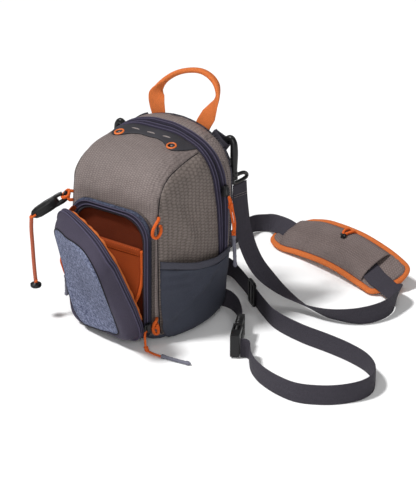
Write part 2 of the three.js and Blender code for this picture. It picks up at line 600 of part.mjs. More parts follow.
// Shoulder pad: an arched frame along its length, tilted up at the far edge. Columns: x, y, z, tilt.
const PAD = { width: 64, thick: 8, sleeveWidth: 48 };
const PAD_LINE = [
  [4, 290, 10, 0.15], [38, 280.5, 17.6, 0.4], [70, 273, 24, 0.5], [130, 257, 28, 0.5],
  [178, 244, 23, 0.5], [202, 237.6, 17.8, 0.42], [217, 233, 13, 0.3],
];
const padPath = new THREE.CatmullRomCurve3(PAD_LINE.map(([x, y, z]) => v3(x, y, z)), false, 'centripetal');
function padFrame(t) {
  const at = t * (PAD_LINE.length - 1);
  const k = Math.min(PAD_LINE.length - 2, Math.floor(at));
  const tilt = v3(0.23, 0.83, mix(PAD_LINE[k][3], PAD_LINE[k + 1][3], at - k));
  const along = padPath.getTangent(t).normalize();
  const across = tilt.sub(along.clone().multiplyScalar(tilt.dot(along))).normalize();
  return { p: padPath.getPoint(t), along, across, out: along.clone().cross(across) };
}
function padHalf(t) {
  const end = t < 0.5 ? t / 0.16 : (1 - t) / 0.12;
  return (PAD.width / 2) * (end >= 1 ? 1 : 0.4 + 0.6 * Math.sqrt(1 - (1 - end) ** 2));
}
const PAD_STEPS = [0, 0.02, 0.06, 0.11, 0.17, 0.28, 0.4, 0.52, 0.64, 0.75, 0.84, 0.9, 0.95, 0.98, 1];
function padSheet(steps, half, offset) {
  return steps.map((t) => {
    const { p, across, out } = padFrame(t);
    return [-1, -0.7, 0, 0.7, 1].map((s) =>
      p.clone().addScaledVector(across, s * half(t)).addScaledVector(out, offset(s, t)));
  });
}
const padCore = (t) => padHalf(t) - 4;
const padEdge = [...PAD_STEPS.map((t) => [t, 1]), ...[...PAD_STEPS].reverse().map((t) => [t, -1])];
const edgePoints = padEdge.map(([t, s]) => {
  const { p, along, across } = padFrame(t);
  const push = t === 0 ? -2 : t === 1 ? 2 : 0;
  return p.clone().addScaledVector(across, s * (padHalf(t) - 0.2)).addScaledVector(along, push).toArray();
});
const padBody = solidFrom(wall(padSheet(PAD_STEPS, padCore, (s) => PAD.thick / 2 - 2.6 * s ** 4),
  padSheet(PAD_STEPS, padCore, (s) => -PAD.thick / 2 + 2.6 * s ** 4)));
add('shoulder_pad', padBody.subtract(solidFrom(tube(edgePoints, 4, 32, 6, true))), COLOR.pad);
add('pad_binding', tube(edgePoints, 3.2, 32, 6, true), COLOR.orange);
const SLEEVE_STEPS = [0.17, 0.28, 0.4, 0.52, 0.64, 0.74, 0.8];
const sleeveRise = (s) => PAD.thick / 2 - 1.05 + 6.6 * (1 - s ** 4);
add('pad_sleeve', wall(padSheet(SLEEVE_STEPS, () => PAD.sleeveWidth / 2, (s) => sleeveRise(s) + 1.4),
  padSheet(SLEEVE_STEPS, () => PAD.sleeveWidth / 2, (s) => sleeveRise(s))), COLOR.fabric);
const loopFrame = padFrame(0.47);
const padLoopAt = (along, across, out) => loopFrame.p.clone().addScaledVector(loopFrame.along, along)
  .addScaledVector(loopFrame.across, across).addScaledVector(loopFrame.out, out).toArray();
const padCord = [
  [-6, 26.2, 2.6], [-5.6, 25.8, 6.6], [-5, 20, 10.4], [0, 13, 12], [5, 20, 10.4], [5.6, 25.8, 6.6],
  [6, 26.2, 2.6],
];
add('pad_loop', tube(padCord.map((row) => padLoopAt(...row)), CORD, 12, 6), COLOR.orange);

// Shoulder strap: from the right hook to the floor, over the pad, and round behind to the left hook.
const STRAP_RIGHT = [
  [81.2, 83.6, 167.6, 0.1, 1, 0], [82.4, 83.6, 140, 0.2, 1, 0], [88, 85, 100, 0.3, 1, -0.1],
  [102, 92, 60, 0.3, 1, -0.15], [119, 105, 34, 0.25, 1, -0.25], [141, 112, 18, 0.2, 0.9, -0.4],
  [166, 113, 11, 0, 0.8, -0.55], [192, 111, 10.6, 0, 0.65, -0.75], [215, 115, 11.8, 0, 0.5, -0.85],
  [236, 127, 12.8, 0, 0.25, -0.95], [249, 150, 13.2, 0, 0, -1], [251, 178, 13.8, 0, -0.1, -1],
  [241, 206, 16, -0.1, -0.6, -0.75],
];
const STRAP_LEFT = [
  [-24, 298, 14, 0, -0.1, -1], [-40, 284, 13.4, 0, 0, -1], [-38, 250, 13.2, 0, 0, -1],
  [-34, 212, 13.2, 0, 0, -1], [-50, 175, 14, 0, 0, -1], [-76, 140, 24, -0.2, 0.2, -1],
  [-99, 110, 56, -0.2, 0.7, -0.6], [-105, 90, 100, 0, 1, -0.2], [-104.4, 84, 128, 0, 1, 0],
  [-104.2, 83.6, 147.6, 0, 1, 0],
];
const PAD_ROWS = [
  [1, 8], [0.95, 0], [0.84, 0], [0.7, 0], [0.55, 0], [0.4, 0], [0.25, 0], [0.12, 0],
  [0.04, 0], [0, -8],
];
const strapOnPad = PAD_ROWS.map(([t, beyond]) => {
  const { p, along, across, out } = padFrame(t);
  const place = p.addScaledVector(along, beyond).addScaledVector(out, PAD.thick / 2 + 2);
  return [...place.toArray(), ...across.negate().toArray()];
});
add('shoulder_strap', webbing([...STRAP_RIGHT, ...strapOnPad, ...STRAP_LEFT], 64), COLOR.webbing);

// Waist straps, standing on edge on the floor.
const edge = (points) => points.map(([x, y]) => [x, y, WEBBING / 2 + 0.2, 0, 0, 1]);
const WAIST_LONG = [
  [-58, 67.4], [-50, 82], [-34, 118], [-8, 144], [16, 149], [50, 130], [85, 105], [124, 76],
  [158, 55], [204, 43], [250, 39], [282, 34], [312, 24], [335, 6], [346, -16], [345, -38],
  [331, -62], [312, -78], [288, -88], [260, -86], [230, -76], [213, -66], [200, -55],
  [189, -42], [182, -33.5], [176, -31.4], [169.4, -34.2],
];
const WAIST_SHORT = [[52, 67.3], [66, 68.6], [80, 67.2], [97, 58], [112, 44.6], [124, 31], [135.2, 14.9]];
add('waist_strap_long', webbing(edge(WAIST_LONG), 50), COLOR.webbing);
add('waist_strap_short', webbing(edge(WAIST_SHORT), 14), COLOR.webbing);

// Side-release buckle, on edge: length along the strap, width upright.
const BUCKLE = { x: 149.3, y: -11, z: 16.2, width: 31, thick: 11 };
const buckleLong = v3(0.48, -0.877, 0).normalize();
const buckleFrame = new THREE.Matrix4()
  .makeBasis(buckleLong, v3(0, 0, 1), buckleLong.clone().cross(v3(0, 0, 1)))
  .setPosition(BUCKLE.x, BUCKLE.y, BUCKLE.z);
const inBuckle = (solid) => geometryFrom(solid).applyMatrix4(buckleFrame);
const bw = BUCKLE.width / 2;
const bt = BUCKLE.thick / 2;
const housingOutline = [[0, -12], [3, -bw], [24, -bw], [35, -14], [35, 14], [24, bw], [3, bw], [0, 12]];
const housingShift = new THREE.Matrix4().makeTranslation(0, 0, -bt);
const housing = solidFrom(prism(housingOutline, BUCKLE.thick, housingShift));
add('buckle_female', inBuckle(housing.subtract(box(-1, 24, -11.2, 11.2, -3.4, 3.4))
  .subtract(box(7, 19, -20, 20, -3.4, 3.4)).subtract(box(28, 31.6, -12.9, 12.9, -9, 9))), COLOR.black, 0.5);
const maleOutline = [[-29, -13.5], [-14, -bw + 1], [-0.5, -13], [-0.5, 13], [-14, bw - 1], [-29, 13.5]];
const maleBase = solidFrom(prism(maleOutline, 9, new THREE.Matrix4().makeTranslation(0, 0, -4.5)))
  .subtract(box(-26, -22.4, -12.4, 12.4, -9, 9));
const prongs = box(-1, 18, 6.5, 10.8, -2.9, 2.9).add(box(-1, 18, -10.8, -6.5, -2.9, 2.9))
  .add(box(-1, 16, -2, 2, -2.6, 2.6));
add('buckle_male', inBuckle(maleBase.add(prongs)), COLOR.black, 0.5);

// Ladder-lock slider on the long strap.
const lockLong = v3(0.81, -0.586, 0).normalize();
const lockFrame = new THREE.Matrix4()
  .makeBasis(lockLong, v3(0, 0, 1), lockLong.clone().cross(v3(0, 0, 1))).setPosition(96, 97.2, 17);
const lockOutline = [
  [-12, -14], [-9, -16.5], [9, -16.5], [12, -14], [12, 14], [9, 16.5],
  [-9, 16.5], [-12, 14],
];
const lockPlate = solidFrom(prism(lockOutline, 3.6, new THREE.Matrix4().makeTranslation(0, 0, 1.6)));
const lockSlots = box(-8, -3.4, -13, 13, -9, 20).add(box(3.4, 8, -13, 13, -9, 20));
add('ladder_lock', geometryFrom(lockPlate.subtract(lockSlots)).applyMatrix4(lockFrame), COLOR.black, 0.5);

// Zip sliders, cord pulls and their tips.
function block(x, y, z, sx, sy, sz, turn) {
  return new THREE.BoxGeometry(sx, sy, sz).rotateZ(turn).translate(x, y, z);
}
add('main_slider', block(89, 42.2, 172, 5.5, 8, 14, 0.12), COLOR.black, 0.4, 0.3);
const MAIN_PULL = [
  [94.1, 42.5, 167], [95.2, 43.7, 158], [95.6, 45.7, 145], [96.4, 48.7, 130], [96.4, 50.7, 113],
];
const MAIN_TIP = [[96.4, 50.8, 112.6], [96.6, 52.5, 90], [96.6, 54, 68]];
const RIGHT_PULL = [
  [63.4, -82.3, 22], [63.4, -84.6, 21.4], [66.5, -88.4, 9], [69.6, -90.6, 3],
  [78, -92, 1.8], [86, -92.6, 1.8], [94, -92.6, 1.9],
];
const RIGHT_TIP = [[94.4, -92.6, 2.6], [115, -91, 2.6], [135, -88, 2.6]];
const LEFT_PULL = [
  [-63.4, -82.3, 95], [-63.5, -84.6, 94.4], [-66.4, -84.6, 83], [-67, -81, 72], [-67, -78.5, 61],
];
const LEFT_TIP = [[-67, -78.4, 60.6], [-67.2, -78, 46], [-67.4, -78, 32]];
add('main_pull', tube(MAIN_PULL, 3, 9, 8), COLOR.orange);
add('main_pull_tip', tube(MAIN_TIP, 5, 5, 8), COLOR.tip, 0.6);
add('pocket_slider_right', block(62.9, -78.4, 25, 5, 7, 12, 0), COLOR.black, 0.4, 0.3);
add('pocket_pull_right', tube(RIGHT_PULL, 3, 12, 8), COLOR.orange);
add('pocket_tip_right', tube(RIGHT_TIP, 4.8, 5, 8), COLOR.tip, 0.6);
add('pocket_slider_left', block(-62.9, -78.4, 98, 5, 7, 12, 0), COLOR.black, 0.4, 0.3);
add('pocket_pull_left', tube(LEFT_PULL, 3, 8, 8), COLOR.orange);
add('pocket_tip_left', tube(LEFT_TIP, 4.8, 4, 8), COLOR.tip, 0.6);

export default pack;
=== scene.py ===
"""Chest pack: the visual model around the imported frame. Tables are in millimetres, meshes in metres."""
import math

import bmesh
import bpy
import numpy as np
from mathutils import Matrix, Vector, noise
from mathutils.bvhtree import BVHTree
from mathutils.kdtree import KDTree


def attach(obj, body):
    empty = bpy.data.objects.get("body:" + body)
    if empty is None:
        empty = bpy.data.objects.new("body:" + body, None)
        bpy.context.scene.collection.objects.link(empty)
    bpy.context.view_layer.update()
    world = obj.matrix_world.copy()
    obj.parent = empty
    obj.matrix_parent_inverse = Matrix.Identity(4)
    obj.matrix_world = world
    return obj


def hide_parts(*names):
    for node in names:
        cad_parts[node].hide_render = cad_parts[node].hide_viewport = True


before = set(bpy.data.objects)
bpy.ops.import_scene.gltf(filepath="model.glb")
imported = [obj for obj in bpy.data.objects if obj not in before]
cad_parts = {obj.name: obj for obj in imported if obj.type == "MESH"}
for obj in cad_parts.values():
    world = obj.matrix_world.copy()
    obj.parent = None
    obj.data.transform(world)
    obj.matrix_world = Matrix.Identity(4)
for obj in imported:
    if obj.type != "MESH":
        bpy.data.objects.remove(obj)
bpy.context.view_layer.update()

MM = 0.001
TURN = 2 * math.pi
SIDES = ((1, "right"), (-1, "left"))
scene = bpy.context.scene


def lerp(a, b, t):
    return a + (b - a) * t


def clamp01(t):
    return min(1.0, max(0.0, t))


def add(name, data):
    obj = bpy.data.objects.new(name, data)
    scene.collection.objects.link(obj)
    return obj


# Camera, floor and light.

EYE = (1.41859, -1.75654, 1.07987)
AZIMUTH, ELEVATION = math.radians(37), math.radians(23.5)
LENS, SENSOR, FAR = 170.9, 36, 50
FLOOR_HALF, FLOOR_COLOR, FLOOR_ROUGH = 6, (0.98, 0.98, 0.98, 1), 0.9
SKY_COLOR, SKY_STRENGTH = (1, 1, 1, 1), 0.2
KEY_SPREAD = math.radians(9)
AIM = (0.05, 0.05, 0.1)


def make_camera():
    ca, sa, ce, se = math.cos(AZIMUTH), math.sin(AZIMUTH), math.cos(ELEVATION), math.sin(ELEVATION)
    right = Vector((ca, sa, 0))
    up = Vector((-sa * se, ca * se, ce))
    back = Vector((sa * ce, -ca * ce, se))
    data = bpy.data.cameras.new("camera")
    data.sensor_fit = "HORIZONTAL"
    data.sensor_width = SENSOR
    data.lens = LENS
    data.clip_end = FAR
    cam = add("camera", data)
    m = Matrix((right, up, back)).transposed().to_4x4()
    m.translation = EYE
    cam.matrix_world = m
    scene.camera = cam


def lamp(name, kind, place, target, power, **settings):
    data = bpy.data.lights.new(name, kind)
    data.energy = power
    for key, value in settings.items():
        setattr(data, key, value)
    obj = add(name, data)
    obj.location = place
    obj.rotation_euler = (Vector(target) - Vector(place)).to_track_quat("-Z", "Y").to_euler()


def make_stage():
    mesh = bpy.data.meshes.new("floor")
    bm = bmesh.new()
    bmesh.ops.create_grid(bm, x_segments=2, y_segments=2, size=FLOOR_HALF)
    bm.to_mesh(mesh)
    bm.free()
    floor = add("floor", mesh)
    mat = bpy.data.materials.new("floor")
    mat.use_nodes = True
    shader = mat.node_tree.nodes["Principled BSDF"]
    shader.inputs["Base Color"].default_value = FLOOR_COLOR
    shader.inputs["Roughness"].default_value = FLOOR_ROUGH
    mesh.materials.append(mat)
    world = scene.world or bpy.data.worlds.new("world")
    scene.world = world
    world.use_nodes = True
    sky = world.node_tree.nodes["Background"]
    sky.inputs["Color"].default_value = SKY_COLOR
    sky.inputs["Strength"].default_value = SKY_STRENGTH
    lamp("key", "SUN", (-0.72, -0.9, 1.9), (0, 0, 0), 2.95, angle=KEY_SPREAD)
    lamp("fill", "AREA", (1.25, -1.55, 1.0), AIM, 15, shape="DISK", size=1.2)
    lamp("top", "AREA", (0.35, 1.0, 2.2), AIM, 5, shape="DISK", size=0.9)
    scene.view_settings.view_transform = "Standard"


make_camera()
make_stage()


# Materials.

def shade(color, k=1.0):
    """Linear colour from 0 to 255 display values, lighter or darker by k."""
    out = []
    for value in color:
        c = value / 255
        linear = c / 12.92 if c <= 0.04045 else ((c + 0.055) / 1.055) ** 2.4
        out.append(min(1, linear * k))
    return (*out, 1.0)


class Look:
    """A material with a Principled shader and short helpers for its nodes."""

    def __init__(self, name, color, rough, spec):
        self.mat = bpy.data.materials.new(name)
        self.mat.use_nodes = True
        self.tree = self.mat.node_tree
        self.shader = self.tree.nodes["Principled BSDF"]
        self.fill(self.shader, {"Base Color": shade(color), "Roughness": rough, "Specular IOR Level": spec})

    def fill(self, node, sockets):
        """Sets each socket to a number or links it to another node's output."""
        for key, value in sockets.items():
            if isinstance(value, bpy.types.NodeSocket):
                self.tree.links.new(value, node.inputs[key])
            else:
                node.inputs[key].default_value = value

    def new(self, kind, sockets=None, **settings):
        node = self.tree.nodes.new(kind)
        for key, value in settings.items():
            setattr(node, key, value)
        self.fill(node, sockets or {})
        return node

    def math(self, op, *values):
        return self.new("ShaderNodeMath", dict(enumerate(values)), operation=op).outputs[0]

    def sum(self, *terms):
        """The sum of outputs, each with its weight."""
        total = 0.0
        for value, weight in terms:
            total = self.math("MULTIPLY_ADD", value, weight, total)
        return total

    def split(self, vector, count):
        """The first parts of a vector, in millimetres."""
        node = self.new("ShaderNodeSeparateXYZ", {0: vector})
        return [self.math("MULTIPLY", node.outputs[i], 1 / MM) for i in range(count)]

    def uv(self):
        return self.split(self.new("ShaderNodeUVMap", uv_map="UVMap").outputs[0], 2)

    def place(self):
        return self.new("ShaderNodeTexCoord").outputs["Object"]

    def wave(self, value, period):
        """A cosine of a length, from -1 to 1."""
        return self.math("COSINE", self.math("MULTIPLY", value, TURN / period))

    def cross(self, a, b, period):
        return self.math("MULTIPLY", self.wave(a, period), self.wave(b, period))

    def comb(self, u, v, cell):
        """Three waves that meet at 60 degrees, as in a honeycomb."""
        half = self.math("MULTIPLY", u, 0.5)
        tall = self.math("MULTIPLY", v, math.sqrt(3) / 2)
        lines = (u, self.math("ADD", half, tall), self.math("SUBTRACT", half, tall))
        return self.sum(*((self.wave(line, cell), 1) for line in lines))

    def noise(self, scale, detail, rough=0.6, stretch=None):
        source = self.place()
        if stretch:
            source = self.new("ShaderNodeMapping", {"Vector": source, "Scale": stretch}).outputs[0]
        sockets = {"Vector": source, "Scale": scale, "Detail": detail, "Roughness": rough}
        return self.new("ShaderNodeTexNoise", sockets).outputs["Fac"]

    def range(self, value, low, high, out_low=0.0, out_high=1.0):
        sockets = {"Value": value, "From Min": low, "From Max": high, "To Min": out_low, "To Max": out_high}
        return self.new("ShaderNodeMapRange", sockets).outputs[0]

    def tint(self, factor, low, high):
        """Base colour between two colours."""
        node = self.new("ShaderNodeMix", {"Factor": factor}, data_type="RGBA")
        ends = {"A": low, "B": high}
        for socket in node.inputs:
            if socket.type == "RGBA":
                socket.default_value = ends[socket.name]
        self.fill(self.shader, {"Base Color": next(s for s in node.outputs if s.type == "RGBA")})

    def vary(self, tone, low, high, color, contrast):
        """Base colour around one colour, darkest where the tone is low."""
        self.tint(self.range(tone, low, high), shade(color, 1 - contrast), shade(color, 1 + contrast))

    def bump(self, height, distance, strength):
        sockets = {"Height": height, "Distance": distance * MM, "Strength": strength}
        self.fill(self.shader, {"Normal": self.new("ShaderNodeBump", sockets).outputs[0]})

    def rough(self, factor, low, high):
        self.fill(self.shader, {"Roughness": self.range(factor, 0, 1, low, high)})


def ripstop(name, color, cell, flat, contrast):
    """Woven shell fabric: low scales with fine dark lines between them, and soft creases."""
    look = Look(name, color, rough=0.62, spec=0.3)
    u, v = look.uv()
    u = look.sum((u, 1), (look.noise(70, 2), 3))
    v = look.sum((v, 1), (look.noise(90, 2, stretch=(1, 1, 1.7)), 3))
    scale = look.range(look.comb(u, look.math("DIVIDE", v, flat), cell), -1.5, 0.6)
    fleck, patch, streak = look.noise(900, 2), look.noise(16, 3), look.noise(420, 2, stretch=(1, 1, 0.16))
    look.vary(look.sum((scale, 0.5), (fleck, 0.3), (patch, 0.5), (streak, 0.5)), 0.5, 1.4, color, contrast)
    crease = look.range(look.noise(90, 3, 0.65, (1, 1, 0.3)), 0.3, 0.7)
    height = look.sum((scale, 1), (look.cross(u, v, 0.7), 0.12), (crease, 3.4))
    look.bump(height, distance=0.45, strength=0.8)
    look.rough(scale, 0.75, 0.5)
    return look.mat


def twill(name, color, period, contrast):
    """Tape or stretch cloth with slanting ribs."""
    look = Look(name, color, rough=0.8, spec=0.25)
    rib = look.wave(look.math("ADD", *look.uv()), period)
    look.vary(look.sum((rib, 0.2), (look.noise(700, 3), 1)), 0.2, 0.9, color, contrast)
    look.bump(rib, distance=0.18, strength=0.6)
    return look.mat


def plain_weave(name, color, thread=0.9, contrast=0.22, rough=0.75):
    look = Look(name, color, rough, spec=0.2)
    weave = look.cross(*look.uv(), thread)
    patch, fleck = look.noise(14, 3), look.noise(1100, 2)
    look.vary(look.sum((weave, 0.15), (patch, 0.5), (fleck, 0.5)), 0.25, 0.8, color, contrast)
    look.bump(weave, distance=0.16, strength=0.6)
    return look.mat


def heather(name, dark, light, painted_shade_heights=None):
    """Melange cloth: crossed fibres of two blues. Where two heights are given, painted shade darkens it
    lower down: below the first height only the dark fibres show, and the light ones come in up to the
    second.
    """
    look = Look(name, light, rough=0.9, spec=0.15)
    weave = look.cross(*look.uv(), 1.3)
    along, across = (look.noise(520, 2, 0.7, stretch) for stretch in ((1, 1, 0.4), (0.4, 1, 1)))
    tone = look.sum((along, 0.6), (across, 0.6), (weave, 0.1))
    factor = look.range(tone, 0.46, 0.74)
    if painted_shade_heights:
        factor = look.math("MULTIPLY", factor, look.range(look.split(look.place(), 3)[2], *painted_shade_heights))
    look.tint(factor, shade(dark), shade(light))
    look.bump(look.math("ADD", tone, weave), distance=0.2, strength=0.7)
    return look.mat


def webbing_look(name, color, rib=1.5, contrast=0.3):
    """Strap webbing: chevron ribs along the strap."""
    look = Look(name, color, rough=0.72, spec=0.2)
    u, v = look.uv()
    ribs = look.wave(look.math("ADD", u, look.math("PINGPONG", v, 3.2)), rib)
    look.vary(look.sum((ribs, 0.16), (look.noise(800, 2), 1)), 0.2, 0.85, color, contrast)
    look.bump(look.sum((ribs, 1), (look.wave(v, 0.8), 0.3)), distance=0.2, strength=0.7)
    return look.mat


def crossed(look, color, u, v, period, light):
    """Strands that cross, for braided cord."""
    cross = look.cross(look.math("ADD", u, v), look.math("SUBTRACT", u, v), period)
    tone = look.sum((cross, 0.25), (look.noise(900, 2), 1))
    look.tint(look.range(tone, 0.2, 0.85), shade(color, 0.7), shade(color, light))
    look.bump(cross, distance=0.25, strength=0.7)
    return look.mat


def braid(name, color):
    """Round braided cord."""
    look = Look(name, color, rough=0.7, spec=0.2)
    return crossed(look, color, *look.uv(), 1.9, 1.21)


def cord_line(name, color):
    """Braided cord drawn as a curve, which has no map of its own: the weave follows the place."""
    look = Look(name, color, rough=0.7, spec=0.2)
    x, y, z = look.split(look.place(), 3)
    return crossed(look, color, look.math("ADD", x, y), z, 2.0, 1.2)


def plastic(name, color, rough, grain, depth, spec=0.5):
    look = Look(name, color, rough, spec)
    wear = look.noise(40, 4)
    look.tint(look.range(wear, 0.3, 0.7), shade(color, 0.85), shade(color, 1.3))
    look.rough(wear, rough - 0.06, rough + 0.14)
    look.bump(look.noise(grain, 2), depth, strength=0.5)
    return look.mat


def air_mesh(name, color):
    """Spacer mesh of the back: small round holes in a honeycomb."""
    look = Look(name, color, rough=0.9, spec=0.15)
    hole = look.range(look.comb(*look.uv(), 3.4), 0.2, 2.4)
    look.tint(hole, shade(color, 1.35), shade(color, 0.3))
    look.bump(look.math("MULTIPLY", hole, -1), distance=0.8, strength=0.9)
    return look.mat


# Each look: how it is made, its colour as shown on a display, and its settings.
LOOKS = {
    "shell_fabric": (ripstop, (120, 109, 106), 3.8, 0.6, 0.36),
    "shell_shaded": (ripstop, (85, 76, 73), 3.8, 0.6, 0.4),
    "side_fabric": (ripstop, (108, 98, 93), 6.4, 0.56, 0.4),
    "pad_fabric": (ripstop, (109, 96, 93), 3.6, 0.7, 0.34),
    "base_fabric": (twill, (64, 67, 79), 1.1, 0.2),
    "back_mesh": (air_mesh, (60, 58, 64)),
    "zip_tape": (twill, (44, 40, 56), 1.3, 0.3),
    # Lighter tape for raised zip ridges and piping: partly real ridges, partly a painted highlight where
    # they catch the light.
    "zip_ridge_highlight": (twill, (80, 75, 96), 1.0, 0.2),
    # The rim's cloth has painted shade: only dark fibres below 135 mm, light fibres coming in above.
    "rim": (heather, (40, 40, 52), (90, 98, 120), (135, 172)),
    "trim_fabric": (twill, (74, 74, 84), 1.0, 0.2),
    "lid_face": (heather, (58, 62, 86), (134, 140, 164)),
    "lid_band": (plain_weave, (68, 63, 78)),
    "lining": (plain_weave, (150, 62, 20), 0.8, 0.3, 0.65),
    # A darker copy of the lining: painted shade for the deep inside of the front pocket.
    "lining_painted_shade": (plain_weave, (98, 37, 13), 0.8, 0.4, 0.7),
    "docking": (plastic, (46, 45, 50), 0.6, 900, 0.08, 0.3),
    "eyelet": (plastic, (220, 112, 48), 0.35, 1500, 0.02),
    "orange_cord": (braid, (222, 100, 38)),
    "cord_line": (cord_line, (222, 100, 38)),
    "sheath": (cord_line, (186, 100, 74)),
    "orange_binding": (webbing_look, (206, 110, 54), 1.0, 0.18),
    "handle_web": (webbing_look, (212, 114, 58), 1.2, 0.22),
    "webbing": (webbing_look, (58, 55, 63)),
    "hardware": (plastic, (13, 13, 15), 0.33, 1800, 0.05, 0.35),
    "slider": (plastic, (13, 13, 15), 0.35, 1500, 0.03, 0.35),
    "pull_tip": (plastic, (98, 98, 110), 0.6, 1200, 0.06, 0.35),
    "thread": (plain_weave, (146, 136, 134), 0.4, 0.2),
    "dark_thread": (plain_weave, (30, 27, 32), 0.4, 0.2),
    "coil": (plastic, (24, 22, 30), 0.45, 1500, 0.03),
}
MAT = {name: make(name, *settings) for name, (make, *settings) in LOOKS.items()}


# Mesh helpers.

def new_mesh(name, verts, faces):
    mesh = bpy.data.meshes.new(name)
    mesh.from_pydata([tuple(c * MM for c in v) for v in verts], [], faces)
    return mesh


def outward(mesh):
    """Turns the faces of a closed mesh outwards."""
    bm = bmesh.new()
    bm.from_mesh(mesh)
    bmesh.ops.recalc_face_normals(bm, faces=bm.faces)
    bm.to_mesh(mesh)
    bm.free()


def piece(name, verts, faces, look, nodes=(), uv=None, thick=0.0, closed=False):
    """A mesh piece from millimetre points, with a millimetre pair per vertex in uv and a wall inwards."""
    mesh = new_mesh(name, verts, faces)
    if closed:
        outward(mesh)
    return finish_piece(name, mesh, look, nodes, uv, thick)


def finish_piece(name, mesh, look, nodes, uv=None, thick=0.0):
    if uv is not None:
        layer = mesh.uv_layers.new(name="UVMap")
        index = np.zeros(len(mesh.loops), np.int32)
        mesh.loops.foreach_get("vertex_index", index)
        layer.data.foreach_set("uv", (np.asarray(uv, np.float32)[index] * MM).ravel())
    mesh.polygons.foreach_set("use_smooth", [True] * len(mesh.polygons))
    obj = add(name, mesh)
    mesh.materials.append(MAT[look])
    if thick:
        wall = obj.modifiers.new("wall", "SOLIDIFY")
        wall.thickness = thick * MM
        wall.offset = -1
    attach(obj, "root")
    if nodes:
        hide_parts(*nodes)
    return obj


def grid_faces(rows, cols, wrap_rows=False, wrap_cols=False):
    faces = []
    for i in range(rows if wrap_rows else rows - 1):
        for j in range(cols if wrap_cols else cols - 1):
            this, below, beside = i * cols, (i + 1) % rows * cols, (j + 1) % cols
            faces.append((this + j, this + beside, below + beside, below + j))
    return faces


def end_faces(rows, cols):
    """Faces that close the first and last ring of a grid."""
    return [tuple(range(cols)), tuple(range((rows - 1) * cols, rows * cols))]


def catmull(points, per_span, loop=False):
    """Centripetal curve through points, the same as the solids follow."""
    p = [np.asarray(q, float) for q in points]
    n = len(p)
    out = []
    for i in range(n if loop else n - 1):
        p1, p2 = p[i], p[(i + 1) % n]
        p0 = p[i - 1] if loop or i > 0 else 2 * p[0] - p[1]
        p3 = p[(i + 2) % n] if loop or i + 2 < n else 2 * p[-1] - p[-2]
        d0, d1, d2 = (max(1e-4, np.linalg.norm(b - a)) ** 0.5 for a, b in ((p0, p1), (p1, p2), (p2, p3)))
        t1 = ((p1 - p0) / d0 - (p2 - p0) / (d0 + d1) + (p2 - p1) / d1) * d1
        t2 = ((p2 - p1) / d1 - (p3 - p1) / (d1 + d2) + (p3 - p2) / d2) * d1
        for k in range(per_span):
            t = k / per_span
            square, cube = 3 * (p2 - p1) - 2 * t1 - t2, 2 * (p1 - p2) + t1 + t2
            out.append(p1 + t1 * t + square * t ** 2 + cube * t ** 3)
    if not loop:
        out.append(p[-1])
    return np.array(out)


def lengths(path):
    """The length of a path up to each of its points."""
    return np.concatenate([[0], np.cumsum(np.linalg.norm(np.diff(path, axis=0), axis=1))])


def sample(values, gone, at):
    """Values known at the lengths gone, at other lengths."""
    return np.stack([np.interp(at, gone, column) for column in np.asarray(values, float).T], 1)


def even(points, step, loop=False):
    """The same line with points about step apart."""
    p = np.asarray(points, float)
    if loop:
        p = np.vstack([p, p[:1]])
    gone = lengths(p)
    at = np.linspace(0, gone[-1], max(2, int(round(gone[-1] / step)) + 1))
    return sample(p, gone, at[:-1] if loop else at)


def smooth(points, per_span, step, loop=False):
    return even(catmull(points, per_span, loop), step, loop)


def unit(v):
    return v / max(1e-9, np.linalg.norm(v))


def around(turns):
    return np.linspace(0, TURN, turns, endpoint=False)


def frames(path, loop):
    """Tangent, side and out directions along a path, with no twist."""
    n = len(path)
    tangent = [unit(path[(i + 1) % n] - path[i - 1]) if loop else
               unit(path[min(i + 1, n - 1)] - path[max(i - 1, 0)]) for i in range(n)]
    side = np.cross(tangent[0], (0, 0, 1) if abs(tangent[0][2]) < 0.9 else (1, 0, 0))
    out = []
    for t in tangent:
        side = unit(side - t * np.dot(side, t))
        out.append((t, side, np.cross(t, side)))
    return out


def tube(name, path, radius, look, nodes=(), sides=12, loop=False, flat=1.0, out_dirs=None):
    """A round or oval tube along a path; radius is a number or one per point."""
    path = np.asarray(path, float)
    n = len(path)
    radii = np.broadcast_to(np.asarray(radius, float), (n,))
    verts, uv = [], []
    gone = lengths(path)
    for i, (p, (t, s, o)) in enumerate(zip(path, frames(path, loop))):
        if out_dirs is not None:
            o = unit(out_dirs[i] - t * np.dot(out_dirs[i], t))
            s = np.cross(o, t)
        for k in range(sides):
            a = TURN * k / sides
            verts.append(p + s * math.cos(a) * radii[i] + o * math.sin(a) * radii[i] * flat)
            uv.append((gone[i], radii[i] * a))
    faces = grid_faces(n, sides, loop, True)
    for i in () if loop else (0, n - 1):
        faces += [(len(verts), i * sides + (k + 1) % sides, i * sides + k) for k in range(sides)]
        verts.append(path[i])
        uv.append((gone[i], 0))
    return piece(name, verts, faces, look, nodes, uv, closed=True)


def ribbon(name, stations, look, nodes=(), power=5.0, sides=20):
    """Webbing through stations (place, across, width, thick), with a rounded flat section."""
    verts, uv = [], []
    n = len(stations)
    gone = lengths([station[0] for station in stations])
    for i, (p, w, width, thick) in enumerate(stations):
        along = unit(stations[min(n - 1, i + 1)][0] - stations[max(0, i - 1)][0])
        across = unit(w - along * np.dot(w, along))
        out = np.cross(along, across)
        for a in around(sides) + math.pi / sides:
            c, s = math.cos(a), math.sin(a)
            x = math.copysign(abs(c) ** (2 / power), c) * width / 2
            y = math.copysign(abs(s) ** (2 / (power * 0.6)), s) * thick / 2
            verts.append(p + across * x + out * y)
            uv.append((gone[i], x + width / 2))
    faces = grid_faces(n, sides, False, True) + end_faces(n, sides)
    return piece(name, verts, faces, look, nodes, uv, closed=True)


